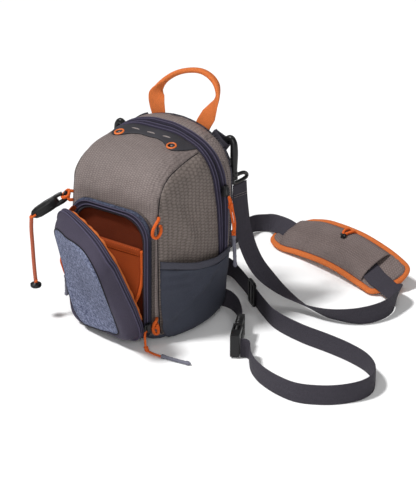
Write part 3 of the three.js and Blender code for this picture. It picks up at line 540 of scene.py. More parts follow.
def webbing_stations(rows, width, thick, per_span=10):
    """Stations from rows x, y, z, wx, wy, wz (and width, thick where a row has them)."""
    rows = [(*r, width, thick)[:8] for r in rows]
    out = []
    for i, p in enumerate(catmull([r[:3] for r in rows], per_span)):
        k = min(len(rows) - 2, i // per_span)
        t = i / per_span - k
        mixed = [lerp(a, b, t) for a, b in zip(rows[k][3:], rows[k + 1][3:])]
        out.append((p, np.array(mixed[:3]), mixed[3], mixed[4]))
    return out


BOX_CORNERS = [(-1, -1, -1), (1, -1, -1), (1, 1, -1), (-1, 1, -1),
               (-0.7, -0.6, 1), (0.7, -0.6, 1), (0.7, 0.6, 1), (-0.7, 0.6, 1)]
BOX_FACES = [(0, 3, 2, 1), (4, 5, 6, 7), (0, 1, 5, 4), (1, 2, 6, 5), (2, 3, 7, 6), (3, 0, 4, 7)]


def boxes(name, places, size, look):
    """Many small blocks with chamfered ends: places are (centre, along, up)."""
    verts, faces, uv = [], [], []
    for centre, along, up in places:
        along = unit(np.asarray(along, float))
        up = unit(np.asarray(up, float) - along * np.dot(up, along))
        axes = np.array([along, np.cross(up, along), up])
        base = len(verts)
        for corner in BOX_CORNERS:
            verts.append(np.asarray(centre) + np.multiply(corner, size) / 2 @ axes)
            uv.append(np.multiply(corner, size)[:2])
        faces += [tuple(base + i for i in q) for q in BOX_FACES]
    return piece(name, verts, faces, look, (), uv, closed=True)


def stitches(name, path, ups, look, pitch, *size):
    """A row of thread stitches (length, width, rise) along a path on a surface with normals ups."""
    gone = lengths(path)
    at = np.arange(pitch / 2, gone[-1], pitch)
    along = sample(path, gone, at + 1) - sample(path, gone, at - 1)
    return boxes(name, zip(sample(path, gone, at), along, sample(ups, gone, at)), size, look)


def from_node(name, look, bevel):
    """A copy of a solid with flat faces joined and edges rounded."""
    bm = bmesh.new()
    bm.from_mesh(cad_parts[name].data)
    bmesh.ops.remove_doubles(bm, verts=bm.verts, dist=1e-6)
    bmesh.ops.dissolve_limit(bm, angle_limit=math.radians(2), verts=bm.verts, edges=bm.edges)
    mesh = bpy.data.meshes.new(name)
    bm.to_mesh(mesh)
    bm.free()
    edge = finish_piece(name, mesh, look, [name]).modifiers.new("edge", "BEVEL")
    edge.width = bevel * MM
    edge.segments = 3
    edge.limit_method = "ANGLE"
    edge.harden_normals = True


# Body surface: sections up the pack, smoothed between the rows.
# Columns: height, front, half width in front, back, half width behind, front corner, rear corner.

SECTIONS = np.array([
    (0, -58, 62, 60, 60, 20, 12), (3, -64, 66, 64, 66, 21, 12), (9, -66.5, 68, 65.8, 70.5, 22, 10),
    (20, -67.5, 69, 66, 74, 22, 8), (42, -68.2, 69.3, 66, 77, 22, 6), (64, -68.5, 69.5, 66, 79, 22, 5),
    (86, -68.5, 69.5, 66, 81, 22, 4), (108, -68.5, 69.5, 66, 83, 22, 4), (150, -68.2, 69.5, 66, 85, 22, 4),
    (185, -65.5, 68.5, 66, 84.5, 22, 4),
    (203, -58, 67, 66, 80.5, 22, 4), (216, -45, 63.5, 66, 74, 22, 4), (226, -24, 56.5, 66, 64, 20, 4),
    (233, 3, 46, 66, 53, 16, 4), (239, 21, 34, 66, 39, 12, 4), (243, 30, 20, 65.8, 23, 7, 3),
    (245, 42, 8, 65.4, 9, 3, 2),
], float)
SIDE_BULGE = 3.0
EDGE_STEPS = (40, 36, 40, 36)
ARC_STEPS = (10, 10, 4, 4)


def slopes(x, y):
    """Slopes of a curve through points that never overshoots them."""
    h = np.diff(x)
    d = np.diff(y) / h
    m = np.zeros(len(x))
    for i in range(1, len(x) - 1):
        if d[i - 1] * d[i] > 0:
            a, b = 2 * h[i] + h[i - 1], h[i] + 2 * h[i - 1]
            m[i] = (a + b) / (a / d[i - 1] + b / d[i])
    m[0], m[-1] = d[0], d[-1]
    return m


SECTION_SLOPES = [slopes(SECTIONS[:, 0], column) for column in SECTIONS.T[1:]]
BODY_TOP, PROFILE_STEPS, LEVEL_COUNT = 245, 1500, 112


def section(z):
    x = SECTIONS[:, 0]
    i = int(min(len(x) - 2, max(0, np.searchsorted(x, z, side="right") - 1)))
    h = x[i + 1] - x[i]
    t = (z - x[i]) / h
    out = []
    for k, m in enumerate(SECTION_SLOPES):
        a, b = SECTIONS[i, k + 1], SECTIONS[i + 1, k + 1]
        out.append((2 * t ** 3 - 3 * t ** 2 + 1) * a + (t ** 3 - 2 * t ** 2 + t) * h * m[i]
                   + (3 * t ** 2 - 2 * t ** 3) * b + (t ** 3 - t ** 2) * h * m[i + 1])
    return out


def body_ring(z):
    front, front_half, back, back_half, corner, rear = section(z)
    spots = [(np.array([-front_half, front, z]), corner), (np.array([front_half, front, z]), corner),
             (np.array([back_half, back, z]), rear), (np.array([-back_half, back, z]), rear)]
    ring = []
    for i, (p, p_cut) in enumerate(spots):
        q, q_cut = spots[(i + 1) % 4]
        along = unit(q - p)
        out = np.array([along[1], -along[0], 0])
        start, end = p + along * p_cut, q - along * q_cut
        bulge = SIDE_BULGE if i % 2 else 0
        for j in range(EDGE_STEPS[i] + 1):
            t = j / EDGE_STEPS[i]
            ring.append(lerp(start, end, t) + out * 4 * bulge * t * (1 - t))
        far = q + unit(spots[(i + 2) % 4][0] - q) * q_cut
        steps = ARC_STEPS[(i + 1) % 4]
        for j in range(1, steps):
            t = j / steps
            ring.append(lerp(lerp(end, q, t), lerp(q, far, t), t))
    return ring


def body_levels():
    """Heights about 3 mm apart along the front profile."""
    fine = np.linspace(0, BODY_TOP, PROFILE_STEPS)
    front = np.array([section(z)[0] for z in fine])
    gone = np.concatenate([[0], np.cumsum(np.hypot(np.diff(fine), np.diff(front)))])
    at = np.linspace(0, gone[-1], LEVEL_COUNT)
    return np.interp(at, gone, fine), at


LEVELS, LEVEL_LENGTH = body_levels()
RINGS = [body_ring(z) for z in LEVELS]
RING_SIZE = len(RINGS[0])


def body_mesh():
    bm = bmesh.new()
    verts = [bm.verts.new(p) for ring in RINGS for p in ring]
    for face in grid_faces(len(RINGS), RING_SIZE, False, True):
        bm.faces.new([verts[i] for i in face])
    low = bm.verts.new(np.mean(RINGS[0], axis=0))
    high = bm.verts.new(np.mean(RINGS[-1], axis=0))
    last = (len(RINGS) - 1) * RING_SIZE
    for j in range(RING_SIZE):
        k = (j + 1) % RING_SIZE
        bm.faces.new((low, verts[k], verts[j]))
        bm.faces.new((high, verts[last + j], verts[last + k]))
    bmesh.ops.recalc_face_normals(bm, faces=bm.faces)
    bm.normal_update()
    return bm


SNAP, ON_LEVEL = 0.2, 1e-7


def cut(bm, level):
    """Adds edges where level(point) is zero, moving points that lie almost on it."""
    value = {v: level(v.co) for v in bm.verts}
    moved = set()
    for e in bm.edges:
        a, b = e.verts
        if (value[a] < 0) != (value[b] < 0) and value[a] != value[b]:
            t = value[a] / (value[a] - value[b])
            for v, other, s in ((a, b, t), (b, a, 1 - t)):
                if s < SNAP and v not in moved:
                    moved.add(v)
                    v.co = v.co.lerp(other.co, s)
    for v in moved:
        value[v] = 0.0
    on = [v for v, f in value.items() if abs(f) < ON_LEVEL]
    for e in list(bm.edges):
        a, b = e.verts
        if value[a] * value[b] < 0:
            _, new = bmesh.utils.edge_split(e, a, value[a] / (value[a] - value[b]))
            value[new] = 0.0
            on.append(new)
    bmesh.ops.connect_verts(bm, verts=on)


def table(rows):
    x, y = np.array(rows, float).T
    order = np.argsort(x)
    return lambda t: float(np.interp(t, x[order], y[order]))


ZIP_END = 84.0
zip_front = table([(260, 19.5), (220, 22), (195, 26), (150, 33), (ZIP_END, 41)])
zip_rear = table([(260, 38.5), (224, 44), (192, 50), (160, 55), (ZIP_END, 57.5)])
SEAM_X, BASE_TOP, GUSSET = 66.0, 8.0, 61.0
GUSSET_SEAM = 58.0


def profile_length(z):
    return float(np.interp(z, LEVELS, LEVEL_LENGTH))


def uv_front(p):
    return p.x, profile_length(p.z)


def uv_side(p):
    return p.y, p.z


def uv_top(p):
    return p.x + p.z * 0.6, p.y


FLOOR_GAP, NO_EDGE = 0.4, 100.0


def dress(bm, puff=0.0, soft=7.0, wrinkle=0.0, scale=28.0, base=0.0, profile=None, ease=None):
    """Pushes a panel out between its seams; wrinkle adds slow waves."""
    bm.normal_update()
    edge = list({v for e in bm.edges if len(e.link_faces) == 1 for v in e.verts})
    tree = KDTree(max(1, len(edge)))
    for i, v in enumerate(edge):
        tree.insert(v.co, i)
    tree.balance()
    moves = []
    for v in bm.verts:
        d = tree.find(v.co)[2] if edge else NO_EDGE
        full = (1 - math.exp(-d / soft)) * (ease(v.co) if ease else 1)
        h = base + puff * full
        if wrinkle:
            h += wrinkle * full * noise.fractal(v.co / scale, 1.0, 2.0, 3)
        if profile:
            h += profile(v.co)
        moves.append(v.co + v.normal * h)
    for v, co in zip(list(bm.verts), moves):
        v.co = (co.x, co.y, max(FLOOR_GAP, co.z))


def panel(name, source, keep, look, nodes, uv_of, thick=1.6, **dressing):
    """One panel of a cut surface."""
    bm = source.copy()
    gone = [f for f in bm.faces if not keep(f.calc_center_median())]
    bmesh.ops.delete(bm, geom=gone, context="FACES")
    bm.verts.index_update()
    flat = [uv_of(v.co) for v in bm.verts]
    dress(bm, **dressing)
    for v in bm.verts:
        v.co *= MM
    mesh = bpy.data.meshes.new(name)
    bm.to_mesh(mesh)
    bm.free()
    return finish_piece(name, mesh, look, nodes, flat, thick)


STRIP_LINE = catmull([(-13, 5), (0, 4.5), (13, 5), (25, 2), (34, -4), (44, -8), (51, -4), (57, 6), (61, 17),
                      (64, 34), (90, 80)], 6)
STRIP_EDGE = table(STRIP_LINE)


def ahead(p):
    return p.y < (zip_front(p.z) if p.z > ZIP_END else GUSSET)


def in_zip(p):
    return p.z > ZIP_END and zip_front(p.z) < p.y < zip_rear(p.z)


ZIP_PROFILE = table([
    (0, -0.2), (0.05, 0.5), (0.13, 1.2), (0.2, 0.3), (0.27, 0.2), (0.34, 1.2), (0.42, 0.6), (0.47, -1.0),
    (0.53, -1.8), (0.58, -1.2), (0.62, 1.2), (0.72, 2.2), (0.85, 1.9), (0.95, 0.7), (1, -0.2)])
ZIP_CUTS = (0.0, 0.05, 0.13, 0.2, 0.27, 0.34, 0.42, 0.47, 0.53, 0.58, 0.65, 0.8, 0.92, 1.0)


def zip_share(p):
    a, b = zip_front(p.z), zip_rear(p.z)
    return clamp01((p.y - a) / (b - a))


STRIP_FOOT, FAR_OFF = 190, 20.0
FOLD_Y, FOLD_Z, FOLD_COS, FOLD_SIN = -22, 140, 0.86, 0.42
FOLD_HIGH, FOLD_WIDE, FOLD_LONG = 4.6, 11, 46


def outside_pocket(p):
    """0 behind the front pocket and under the docking strip, 1 away from them."""
    side = max(abs(p.x) - 56, p.z - 172, 14 - p.z) if p.y < -50 else FAR_OFF
    strip = STRIP_EDGE(abs(p.x)) - p.y if p.z > STRIP_FOOT else FAR_OFF
    return clamp01(side / 10) * clamp01(strip / 8)


def side_fold(p):
    """A soft slanting fold down the middle of a side panel, nearly gone at its seams."""
    y, z = p.y - FOLD_Y, p.z - FOLD_Z
    off, along = y * FOLD_COS + z * FOLD_SIN, z * FOLD_COS - y * FOLD_SIN
    return FOLD_HIGH * math.exp(-(off / FOLD_WIDE) ** 2 - (along / FOLD_LONG) ** 2)


def behind(p):
    return not ahead(p) and not in_zip(p) and p.y < GUSSET


def build_body():
    bm = body_mesh()
    for level in (lambda p: p.z - ZIP_END, lambda p: p.y - zip_front(p.z), lambda p: p.y - zip_rear(p.z),
                  lambda p: p.y - GUSSET, lambda p: p.x - SEAM_X, lambda p: p.x + SEAM_X,
                  lambda p: p.z - BASE_TOP, lambda p: p.x - GUSSET_SEAM, lambda p: p.x + GUSSET_SEAM):
        cut(bm, level)
    gusset = {"puff": 1.4, "soft": 3.5, "wrinkle": 0.8, "scale": 40}
    panel("front_panel", bm, lambda p: ahead(p) and abs(p.x) < SEAM_X and p.z > BASE_TOP, "shell_fabric",
          ["front_panel"], uv_front, puff=1.6, soft=5, wrinkle=1.4, scale=46, ease=outside_pocket)
    for side, name in SIDES:
        panel("side_panel_" + name, bm, lambda p: ahead(p) and side * p.x > SEAM_X and p.z > BASE_TOP,
              "side_fabric", ["side_panel_" + name], uv_side, puff=2.0, soft=6, wrinkle=3.0, scale=54,
              profile=side_fold)
    panel("base_panel", bm, lambda p: p.z < BASE_TOP and p.y < GUSSET, "base_fabric", ["base_panel"],
          lambda p: (p.x, p.y))
    panel("rear_gusset", bm, lambda p: behind(p) and abs(p.x) < GUSSET_SEAM, "shell_fabric", ["rear_gusset"],
          uv_top, **gusset)
    for side, name in SIDES:
        panel("rear_gusset_" + name, bm, lambda p: behind(p) and side * p.x > GUSSET_SEAM, "shell_fabric",
              (), uv_side, **gusset)
    panel("back_panel", bm, lambda p: p.y > GUSSET, "back_mesh", ["back_panel"], lambda p: (p.x, p.z),
          thick=4.5)
    bm.free()
    bm = body_mesh()
    cut(bm, lambda p: p.z - ZIP_END)
    for share in ZIP_CUTS:
        cut(bm, lambda p: p.y - lerp(zip_front(p.z), zip_rear(p.z), share))
    panel("main_zip", bm, in_zip, "zip_tape", ["main_zip"], lambda p: (p.y, p.z * 1.3 + p.x), thick=1.4,
          profile=lambda p: ZIP_PROFILE(zip_share(p)))
    bm.free()


build_body()


def surface(name, rows, look, nodes=(), thick=0.0, wrap=True, inside=None, facing=None, cap=None,
            closed=False):
    """A grid of points as a sheet, with a point cap to close its last row where that is a loop.

    Its outer side looks away from the point inside, or along facing.
    """
    grid = np.array(rows, float)
    n, m = grid.shape[:2]
    gone_v = np.concatenate([[0], np.cumsum(np.linalg.norm(np.diff(grid, axis=0), axis=2).mean(1))])
    gone_u = lengths(grid[n // 2])
    verts = grid.reshape(-1, 3).tolist()
    pairs = [(gone_u[j], gone_v[i]) for i in range(n) for j in range(m)]
    faces = grid_faces(n, m, False, wrap)
    if cap is not None:
        last = (n - 1) * m
        faces += [(last + j, last + (j + 1) % m, len(verts)) for j in range(m)]
        verts.append(list(cap))
        pairs.append((gone_u[-1] / 2, gone_v[-1]))
    if inside is not None or facing is not None:
        total = 0.0
        for f in faces[::7]:
            a, b, c = (np.array(verts[k]) for k in f[:3])
            total += float(np.dot(np.cross(b - a, c - a), facing if inside is None else a - inside))
        if total < 0:
            faces = [f[::-1] for f in faces]
    return piece(name, verts, faces, look, nodes, pairs, thick, closed)


def turned(centre, axis, side, profile, turns):
    """Rows of a turned form: profile rows are radius and height along the axis."""
    front = np.cross(axis, side)
    return [[centre + axis * h + (side * math.cos(a) + front * math.sin(a)) * r for a in around(turns)]
            for r, h in profile]


# Front pocket.

POCKET_HALF, POCKET_BOTTOM, POCKET_TOP = 60.0, 6.0, 170.0
LINING_Y, LID_HINGE_Y, LID_RISE = -69.2, -78.2, 164.0
RIGHT_REACH, RIGHT_REACH_LOW = 3.5, 1.5
LOW_CORNER, HIGH_CORNER = 16, 30
ARC, STRAIGHT = 14, 20
POCKET_MIDDLE = (0, -70, 93)
FORWARD = (0, -1, 0)
TEETH_PITCH, TEETH_SIZE = 1.7, (0.9, 2.6, 1.1)


def pocket_outline(inset):
    """Rounded rectangle in x, z with the same count of points for every inset."""
    half, low, high = POCKET_HALF - inset, POCKET_BOTTOM + inset, POCKET_TOP - inset
    arcs = [(half - LOW_CORNER, low + LOW_CORNER, LOW_CORNER, -90),
            (half - HIGH_CORNER, high - HIGH_CORNER, HIGH_CORNER, 0),
            (-half + HIGH_CORNER, high - HIGH_CORNER, HIGH_CORNER, 90),
            (-half + LOW_CORNER, low + LOW_CORNER, LOW_CORNER, 180)]
    corner = []
    for x, z, r, start in arcs:
        turn = [math.radians(start + 90 * i / ARC) for i in range(ARC + 1)]
        corner.append([(x + r * math.cos(a), z + r * math.sin(a)) for a in turn])
    points = []
    for k in range(4):
        points += corner[k]
        (x0, z0), (x1, z1) = corner[k][-1], corner[(k + 1) % 4][0]
        points += [(lerp(x0, x1, j / STRAIGHT), lerp(z0, z1, j / STRAIGHT)) for j in range(1, STRAIGHT)]
    out = []
    for x, z in points:
        reach = lerp(RIGHT_REACH_LOW, RIGHT_REACH, clamp01((z - 10) / 120))
        out.append((x + reach * clamp01(x / 40) ** 2, z))
    return out


def front_loop(inset, y):
    return [(x, y, z) for x, z in pocket_outline(inset)]


def front_loops(rows):
    return [front_loop(inset, y) for inset, y in rows]


def teeth(name, loop, up):
    """A row of zip teeth along a closed line."""
    path = even(loop, TEETH_PITCH, True)
    along = np.roll(path, -1, 0) - np.roll(path, 1, 0)
    boxes(name, [(p, a, up) for p, a in zip(path, along)], TEETH_SIZE, "coil")


RIM = [(2.4, -75.0), (1.0, -75.3), (0, -74.7), (-0.5, -72.8), (-0.7, -71.0)]
WALL = [(-0.7, -71.0), (-0.2, -70.4), (-0.6, -69.4), (-0.9, -66.4), (-0.6, -63), (0, -56), (0, -48)]
TAPE = [
    (0.9, -75.4), (1.7, -76.2), (2.8, -76.3), (3.4, -75.8), (4.2, -75.8), (4.9, -76.3), (6.0, -76.2),
    (7.4, -75.7), (9.0, -75.4)]
LINING_EDGE = [(8.6, -75.0), (5.2, -74.6), (3.6, -73.4), (3.0, -71.5), (3.4, -70.0)]


def build_pocket():
    # The rim's cloth is dark below 135 mm with painted shade.
    surface("pocket_rim", front_loops(RIM), "rim", ["pocket_rim"], 1.4, inside=POCKET_MIDDLE)
    surface("pocket_wall", front_loops(WALL), "shell_shaded", (), 1.4, inside=POCKET_MIDDLE)
    surface("pocket_zip", front_loops(TAPE), "zip_tape", ["pocket_zip"], 0.9, facing=FORWARD)
    teeth("pocket_teeth", front_loop(8.0, -76.0), FORWARD)
    # Raised ridges along the pocket's zip, in the lighter tape with a painted highlight.
    for i, inset in enumerate((1.6, 5.4)):
        tube("pocket_ridge_%d" % i, front_loop(inset, -76.3), 0.75, "zip_ridge_highlight", (), 8, True)
    rows = front_loops(LINING_EDGE)
    centre = np.array([0, LINING_Y - 0.8, 93])
    floor_loop = np.array(front_loop(4.2, LINING_Y - 0.8))
    for k in np.linspace(1, 0.06, 26):
        rows.append([(x, y - 1.2 * noise.noise(Vector((x, 40, z)) / 26), z)
                     for x, y, z in centre + (floor_loop - centre) * k])
    # The pocket's lining takes the darker copy of the lining, with painted shade.
    surface("pocket_lining", rows, "lining_painted_shade", ["pocket_lining"], 0.8, facing=FORWARD, cap=centre)


SLIP_LEFT, SLIP_TOP, SLIP_LOW, SLIP_Y = -45.0, 124.0, 25.0, -71.2
SLIP_EDGE = table([(0, 48.5), (0.3, 48.8), (0.45, 48), (0.6, 45.5), (0.75, 41), (0.9, 34), (1, 28)])


def slip_point(u, v, off):
    """The slip pocket: flat at the hem, standing open along its curved right edge."""
    edge = 1 + 9 * math.exp(-((v - 0.8) / 0.22) ** 2)
    fold = math.sin(math.pi * u) * math.sin(math.pi * v)
    crease = 0.9 * noise.noise(Vector((u * 3.2, v * 2.4, 1.7))) * math.sin(math.pi * v)
    y = SLIP_Y - u ** 1.5 * edge - 5 * fold - off - crease
    return (lerp(SLIP_LEFT, SLIP_EDGE(v), u), y, lerp(SLIP_TOP, SLIP_LOW, v))


HEM_START, HEM_WIDE = 0.004, 0.1


def slip_hem_off(v):
    return 1.5 + 0.9 * math.sin(math.pi * clamp01((v - HEM_START) / HEM_WIDE))


def build_slip():
    across = np.linspace(0, 1, 29)
    rows = [[slip_point(u, v, 1.4) for u in across] for v in np.linspace(0, 1, 33)]
    surface("slip_pocket", rows, "lining", ["slip_pocket"], 1.3, False, facing=FORWARD)
    hem = [[slip_point(u, v, slip_hem_off(v)) for u in across]
           for v in np.linspace(HEM_START, HEM_START + HEM_WIDE, 9)]
    surface("slip_hem", hem, "lining", (), 0.8, False, facing=FORWARD)
    for v in (0.02, 0.085):
        line = [slip_point(u, v, 2.0) for u in np.linspace(0.02, 0.98, 40)]
        stitches("slip_stitch_%d" % (v * 1000), line, [FORWARD] * 40, "orange_cord", 3.2, 2.0, 0.6, 0.5)
    line = [slip_point(1, v, 0.7) + np.array([2.0, 0, 0]) for v in np.linspace(0.02, 0.9, 40)]
    tube("slip_binding", even(line, 2.5), 2.1, "orange_cord", ["slip_binding"], 14)


# Fold-down lid.

LID_BEND, LID_DRAFT = 18.0, 8.0
# At the lid's left and right edge: the height of its bend, how far it leans, and its depth below and above.
BEND_HEIGHT, BEND_LEAN = (66, 14), (math.radians(12), math.radians(28))
DEPTH_LEFT, DEPTH_RIGHT = (14, 23), (28, 34)
DOME_STEPS = 26
LID_CENTRE = np.array([0.0, -118.0, 86.0])


def lid_share(x):
    return clamp01((x + POCKET_HALF) / (2 * POCKET_HALF))


def lid_point(x, h, d):
    """A point of the lid from its place across, up and out of it. The lid leans forward above a bend."""
    u = lid_share(x)
    start = lerp(*BEND_HEIGHT, u) - LID_BEND
    full = lerp(*BEND_LEAN, u)
    k = full / (2 * LID_BEND)
    angle = k * min(2 * LID_BEND, max(0, h - start))
    rest = max(0, h - start - 2 * LID_BEND)
    forward = (1 - math.cos(angle)) / k + rest * math.sin(full) + d * math.cos(angle)
    rise = min(h, start) + math.sin(angle) / k + rest * math.cos(full) - d * math.sin(angle)
    stand = clamp01(d / 12)
    tuck = 18 * clamp01(1 - h / 50) ** 1.2 * clamp01(-x / 45) * stand
    tuck -= 5 * clamp01(1 - h / 60) * clamp01(x / 45)
    sag = 4 * clamp01(1 - h / 30) * (1 - u) * stand
    return np.array([x + tuck, LID_HINGE_Y - forward, POCKET_BOTTOM + rise - sag])


def lid_depth(x, h):
    t = h / LID_RISE
    return lerp(lerp(*DEPTH_LEFT, t), lerp(*DEPTH_RIGHT, t), lid_share(x))


def lid_loop(inset, depth):
    """A loop round the lid; depth is a share of the lid's depth or a function of x and h."""
    out = []
    for x, z in pocket_outline(inset):
        h = z - POCKET_BOTTOM
        out.append(lid_point(x, h, depth(x, h) if callable(depth) else lid_depth(x, h) * depth))
    return out


def lid_dome(inset, base, rise):
    """Rows that close a loop of the lid over its middle."""
    outline = [(x, z - POCKET_BOTTOM) for x, z in pocket_outline(inset)]
    mid = (0.0, LID_RISE / 2)
    rows = []
    for k in np.linspace(1, 0.05, DOME_STEPS):
        row = []
        for x, h in outline:
            a, b = lerp(mid[0], x, k), lerp(mid[1], h, k)
            lump = 0.8 * noise.noise(Vector((a, b, 3.0)) / 34) * (1 - k ** 4)
            row.append(lid_point(a, b, base(a, b) + rise * (1 - k ** 2.4) + lump))
        rows.append(row)
    return rows, lid_point(*mid, base(*mid) + rise)


TAPE_SEAM = 0.22


def band_inset(t):
    """How far the lid's band has drawn in at a share t of its depth."""
    round_off = max(0.0, (t - 0.8) / 0.2) ** 2 * 2.2
    return LID_DRAFT * t + round_off - 1.3 * math.sin(math.pi * min(1, t)) - 0.9 * (0.24 < t < 0.28)


FACE_EDGE = 1.2
FACE_INSET, FACE_RISE = 12.0, 1.2
BAND_STEPS = 40
# Where the face's seam runs, as a share of the lid's depth, by quarter turns from the lower right corner.
SEAM_SHARE = table([
    (0, 1.06), (0.35, 1.13), (0.6, 1.12), (0.82, 1.0), (1.06, 0.87), (1.3, 0.76), (1.53, 0.83), (1.76, 0.98),
    (2.06, 1.04), (2.3, 0.92), (2.6, 0.8), (3.3, 0.8), (3.6, 0.92), (4, 1.06)])


def side_loop(t):
    """A loop round the lid's side, or beyond 1 over the margin of its face."""
    if t <= 1:
        return lid_loop(band_inset(t), t)
    over = (t - 1) / (FACE_EDGE - 1)
    return lid_loop(band_inset(1) + FACE_INSET * over, lambda x, h: lid_depth(x, h) + FACE_RISE * over)


def face_seam():
    share = np.array([SEAM_SHARE(i / (ARC + STRAIGHT)) for i in range(4 * (ARC + STRAIGHT))])
    return sum(np.roll(share, k) for k in range(-5, 6)) / 11


LID_SIDE = np.array([side_loop(k / BAND_STEPS) for k in range(int(FACE_EDGE * BAND_STEPS) + 1)])
FACE_SEAM = face_seam()


def lid_ring(share, out=0.0):
    """A loop on the lid's side at a share of its depth, one share for every point or one for all."""
    at = np.broadcast_to(share, FACE_SEAM.shape) * BAND_STEPS
    k = np.minimum(at.astype(int), len(LID_SIDE) - 2)
    i = np.arange(len(k))
    ring = LID_SIDE[k, i] + (LID_SIDE[k + 1, i] - LID_SIDE[k, i]) * (at - k)[:, None]
    away = ring - ring.mean(0)
    away[:, 1] = 0
    return ring + away / np.linalg.norm(away, axis=1)[:, None] * out


# The lid's piping and ridges take the lighter tape with a painted highlight.
LID_LINES = (("lid_welt", FACE_SEAM, 0.8, "dark_thread"), ("lid_piping", 0.25, 1.0, "zip_ridge_highlight"),
             ("lid_ridge", 0.12, 0.8, "zip_ridge_highlight"), ("lid_ridge_low", 0.03, 0.7, "zip_ridge_highlight"))
LID_FLAT = [(0.3, -0.4), (1.2, -1.2), (2.6, -1.3), (3.4, -0.9), (5.0, -0.9), (7.0, -0.8), (8.6, -0.5)]
LID_WALL = 3.4


def inner_depth(x, h):
    return lid_depth(x, h) - LID_WALL


def build_lid():
    rows, cap = lid_dome(band_inset(1) + FACE_INSET, lambda x, h: lid_depth(x, h) + FACE_RISE, 2.8)
    turn = [lid_ring(lerp(FACE_SEAM, FACE_EDGE, k), 0.2 * (1 - k)) for k in np.linspace(0, 1, 13)]
    surface("lid_face", turn + rows[1:], "lid_face", ["lid_face"], 1.6, inside=LID_CENTRE + (0, 40, 20),
            cap=cap)
    band = [lid_ring(lerp(TAPE_SEAM, FACE_SEAM, k)) for k in np.linspace(0, 1, 19)]
    surface("lid_band", band, "lid_band", ["lid_band"], 1.4, inside=LID_CENTRE)
    tape = [lid_ring(t, 0.3) for t in (0, 0.03, 0.08, 0.13, 0.18, TAPE_SEAM)]
    surface("lid_tape", tape, "zip_tape", (), 1.0, inside=LID_CENTRE)
    for name, share, radius, look in LID_LINES:
        tube(name, lid_ring(share, 0.3), radius, look, (), 8, True)
    flat = [lid_loop(inset, lambda x, h: depth) for inset, depth in LID_FLAT]
    surface("lid_zip", flat[:4], "zip_tape", ["lid_zip"], 0.8, facing=(0, 1, 0.3))
    surface("lid_edge", flat[3:], "orange_binding", (), 0.8, facing=(0, 1, 0.3))
    teeth("lid_teeth", lid_loop(2.0, lambda x, h: -1.3), (0.2, 0.9, 0.4))
    skirt = [lid_loop(7.8 + LID_WALL * t, lambda x, h: lerp(0.2, inner_depth(x, h), t))
             for t in (0, 0.25, 0.5, 0.75, 0.94, 1)]
    rows, cap = lid_dome(11.8, inner_depth, 1.5)
    surface("lid_lining", skirt + rows[1:], "lining", ["lid_lining"], 0.8, facing=(0, 1, 0.2), cap=cap)


build_pocket()
build_slip()
build_lid()


# Side pockets.

HEM_LINE = table([(60.6, 92), (25, 91), (-15, 97), (-66, 111), (-80, 115)])


def pocket_stand(p):
    v = clamp01((p.y + 62) / 124)
    return 0.5 + 9 * math.sin(math.pi * v) ** 0.8 * clamp01((p.z + 4) / 14) if 0 < v < 1 else 0.5


SIDE_EDGE, SIDE_REAR, SIDE_FOOT, HEM_DEEP = 67, 60.6, 3.5, 10


def hem_profile(p):
    t = clamp01((HEM_LINE(p.y) - p.z) / HEM_DEEP)
    return pocket_stand(p) + 1.3 + 1.1 * (1 - (2 * t - 1) ** 4)


def pocket_folds(p, side):
    """A slanting ridge across the pocket, short folds under the hem in front of it, and slow waves."""
    slack = clamp01((p.z - 8) / 24)
    lean = (p.y + 10) / 70
    off = (p.z - 63) * 0.87 - (p.y - 3) * 0.49
    ridge = 4.0 * math.exp(-(off / 6.5) ** 2) * clamp01((40 - p.y) / 30)
    creases = 1.2 * math.sin(p.z / 1.9 + p.y / 14) * clamp01((-4 - p.y) / 24) * clamp01((p.z - 58) / 16)
    return slack * (ridge + creases + 1.4 * noise.noise(Vector((lean * 3.0, p.z / 30 + lean, side))))


def build_side_pockets():
    for side, name in SIDES:
        def on_side(p):
            return side * p.x > SIDE_EDGE and p.y < SIDE_REAR

        bm = body_mesh()
        for level in (lambda p: side * p.x - SIDE_EDGE, lambda p: p.y - SIDE_REAR,
                      lambda p: p.z - SIDE_FOOT):
            cut(bm, level)
        for down in (0, 1.4, 5, 8.6, HEM_DEEP):
            cut(bm, lambda p: p.z - HEM_LINE(p.y) + down)
        panel("side_pocket_" + name, bm, lambda p: on_side(p) and SIDE_FOOT < p.z < HEM_LINE(p.y) - 9.9,
              "base_fabric", ["side_pocket_" + name], uv_side, thick=1.3,
              profile=lambda p: pocket_stand(p) + 1.4 + pocket_folds(p, side))
        panel("pocket_hem_" + name, bm, lambda p: on_side(p) and 0 < HEM_LINE(p.y) - p.z < HEM_DEEP,
              "trim_fabric", ["pocket_hem_" + name], uv_side, thick=1.6, profile=hem_profile)
        bm.free()


build_side_pockets()


# Straps.

HANDLE = [
    (-33, 67.8, 226, 1, 0, 0, 22, 2.2), (-34, 68, 240, 1, 0, 0, 22, 2.2),
    (-38, 70, 252, 1, 0.1, 0.1, 23, 2.4), (-40.5, 73, 262, 0.9, 0.5, 0.1, 20, 3),
    (-39, 76, 269.5, 0.7, 0.8, 0.1, 12, 5), (-33, 80, 279, 0.3, 1, 0, 9.5, 6.4),
    (-19, 85, 289.8, 0, 1, -0.1, 9, 6.8), (0, 88, 296.8, 0, 1, -0.2, 9, 6.8),
    (18, 89, 298.8, 0, 1, -0.2, 9, 6.8), (33, 88, 295, 0, 1, -0.1, 9, 6.8),
    (44, 85, 287.5, -0.2, 1, 0, 9, 6.4), (49, 81, 277, -0.6, 0.9, 0, 10, 5.6),
    (49.4, 77.6, 270.5, -0.8, 0.7, 0, 14, 4.4), (47.6, 74.6, 264, -0.9, 0.5, 0, 20, 3),
    (43, 70.5, 252, -1, 0.1, 0.15, 23, 2.4), (36, 68, 238, -1, 0, 0.1, 22, 2.2),
    (33, 67.8, 226, -1, 0, 0, 22, 2.2)]
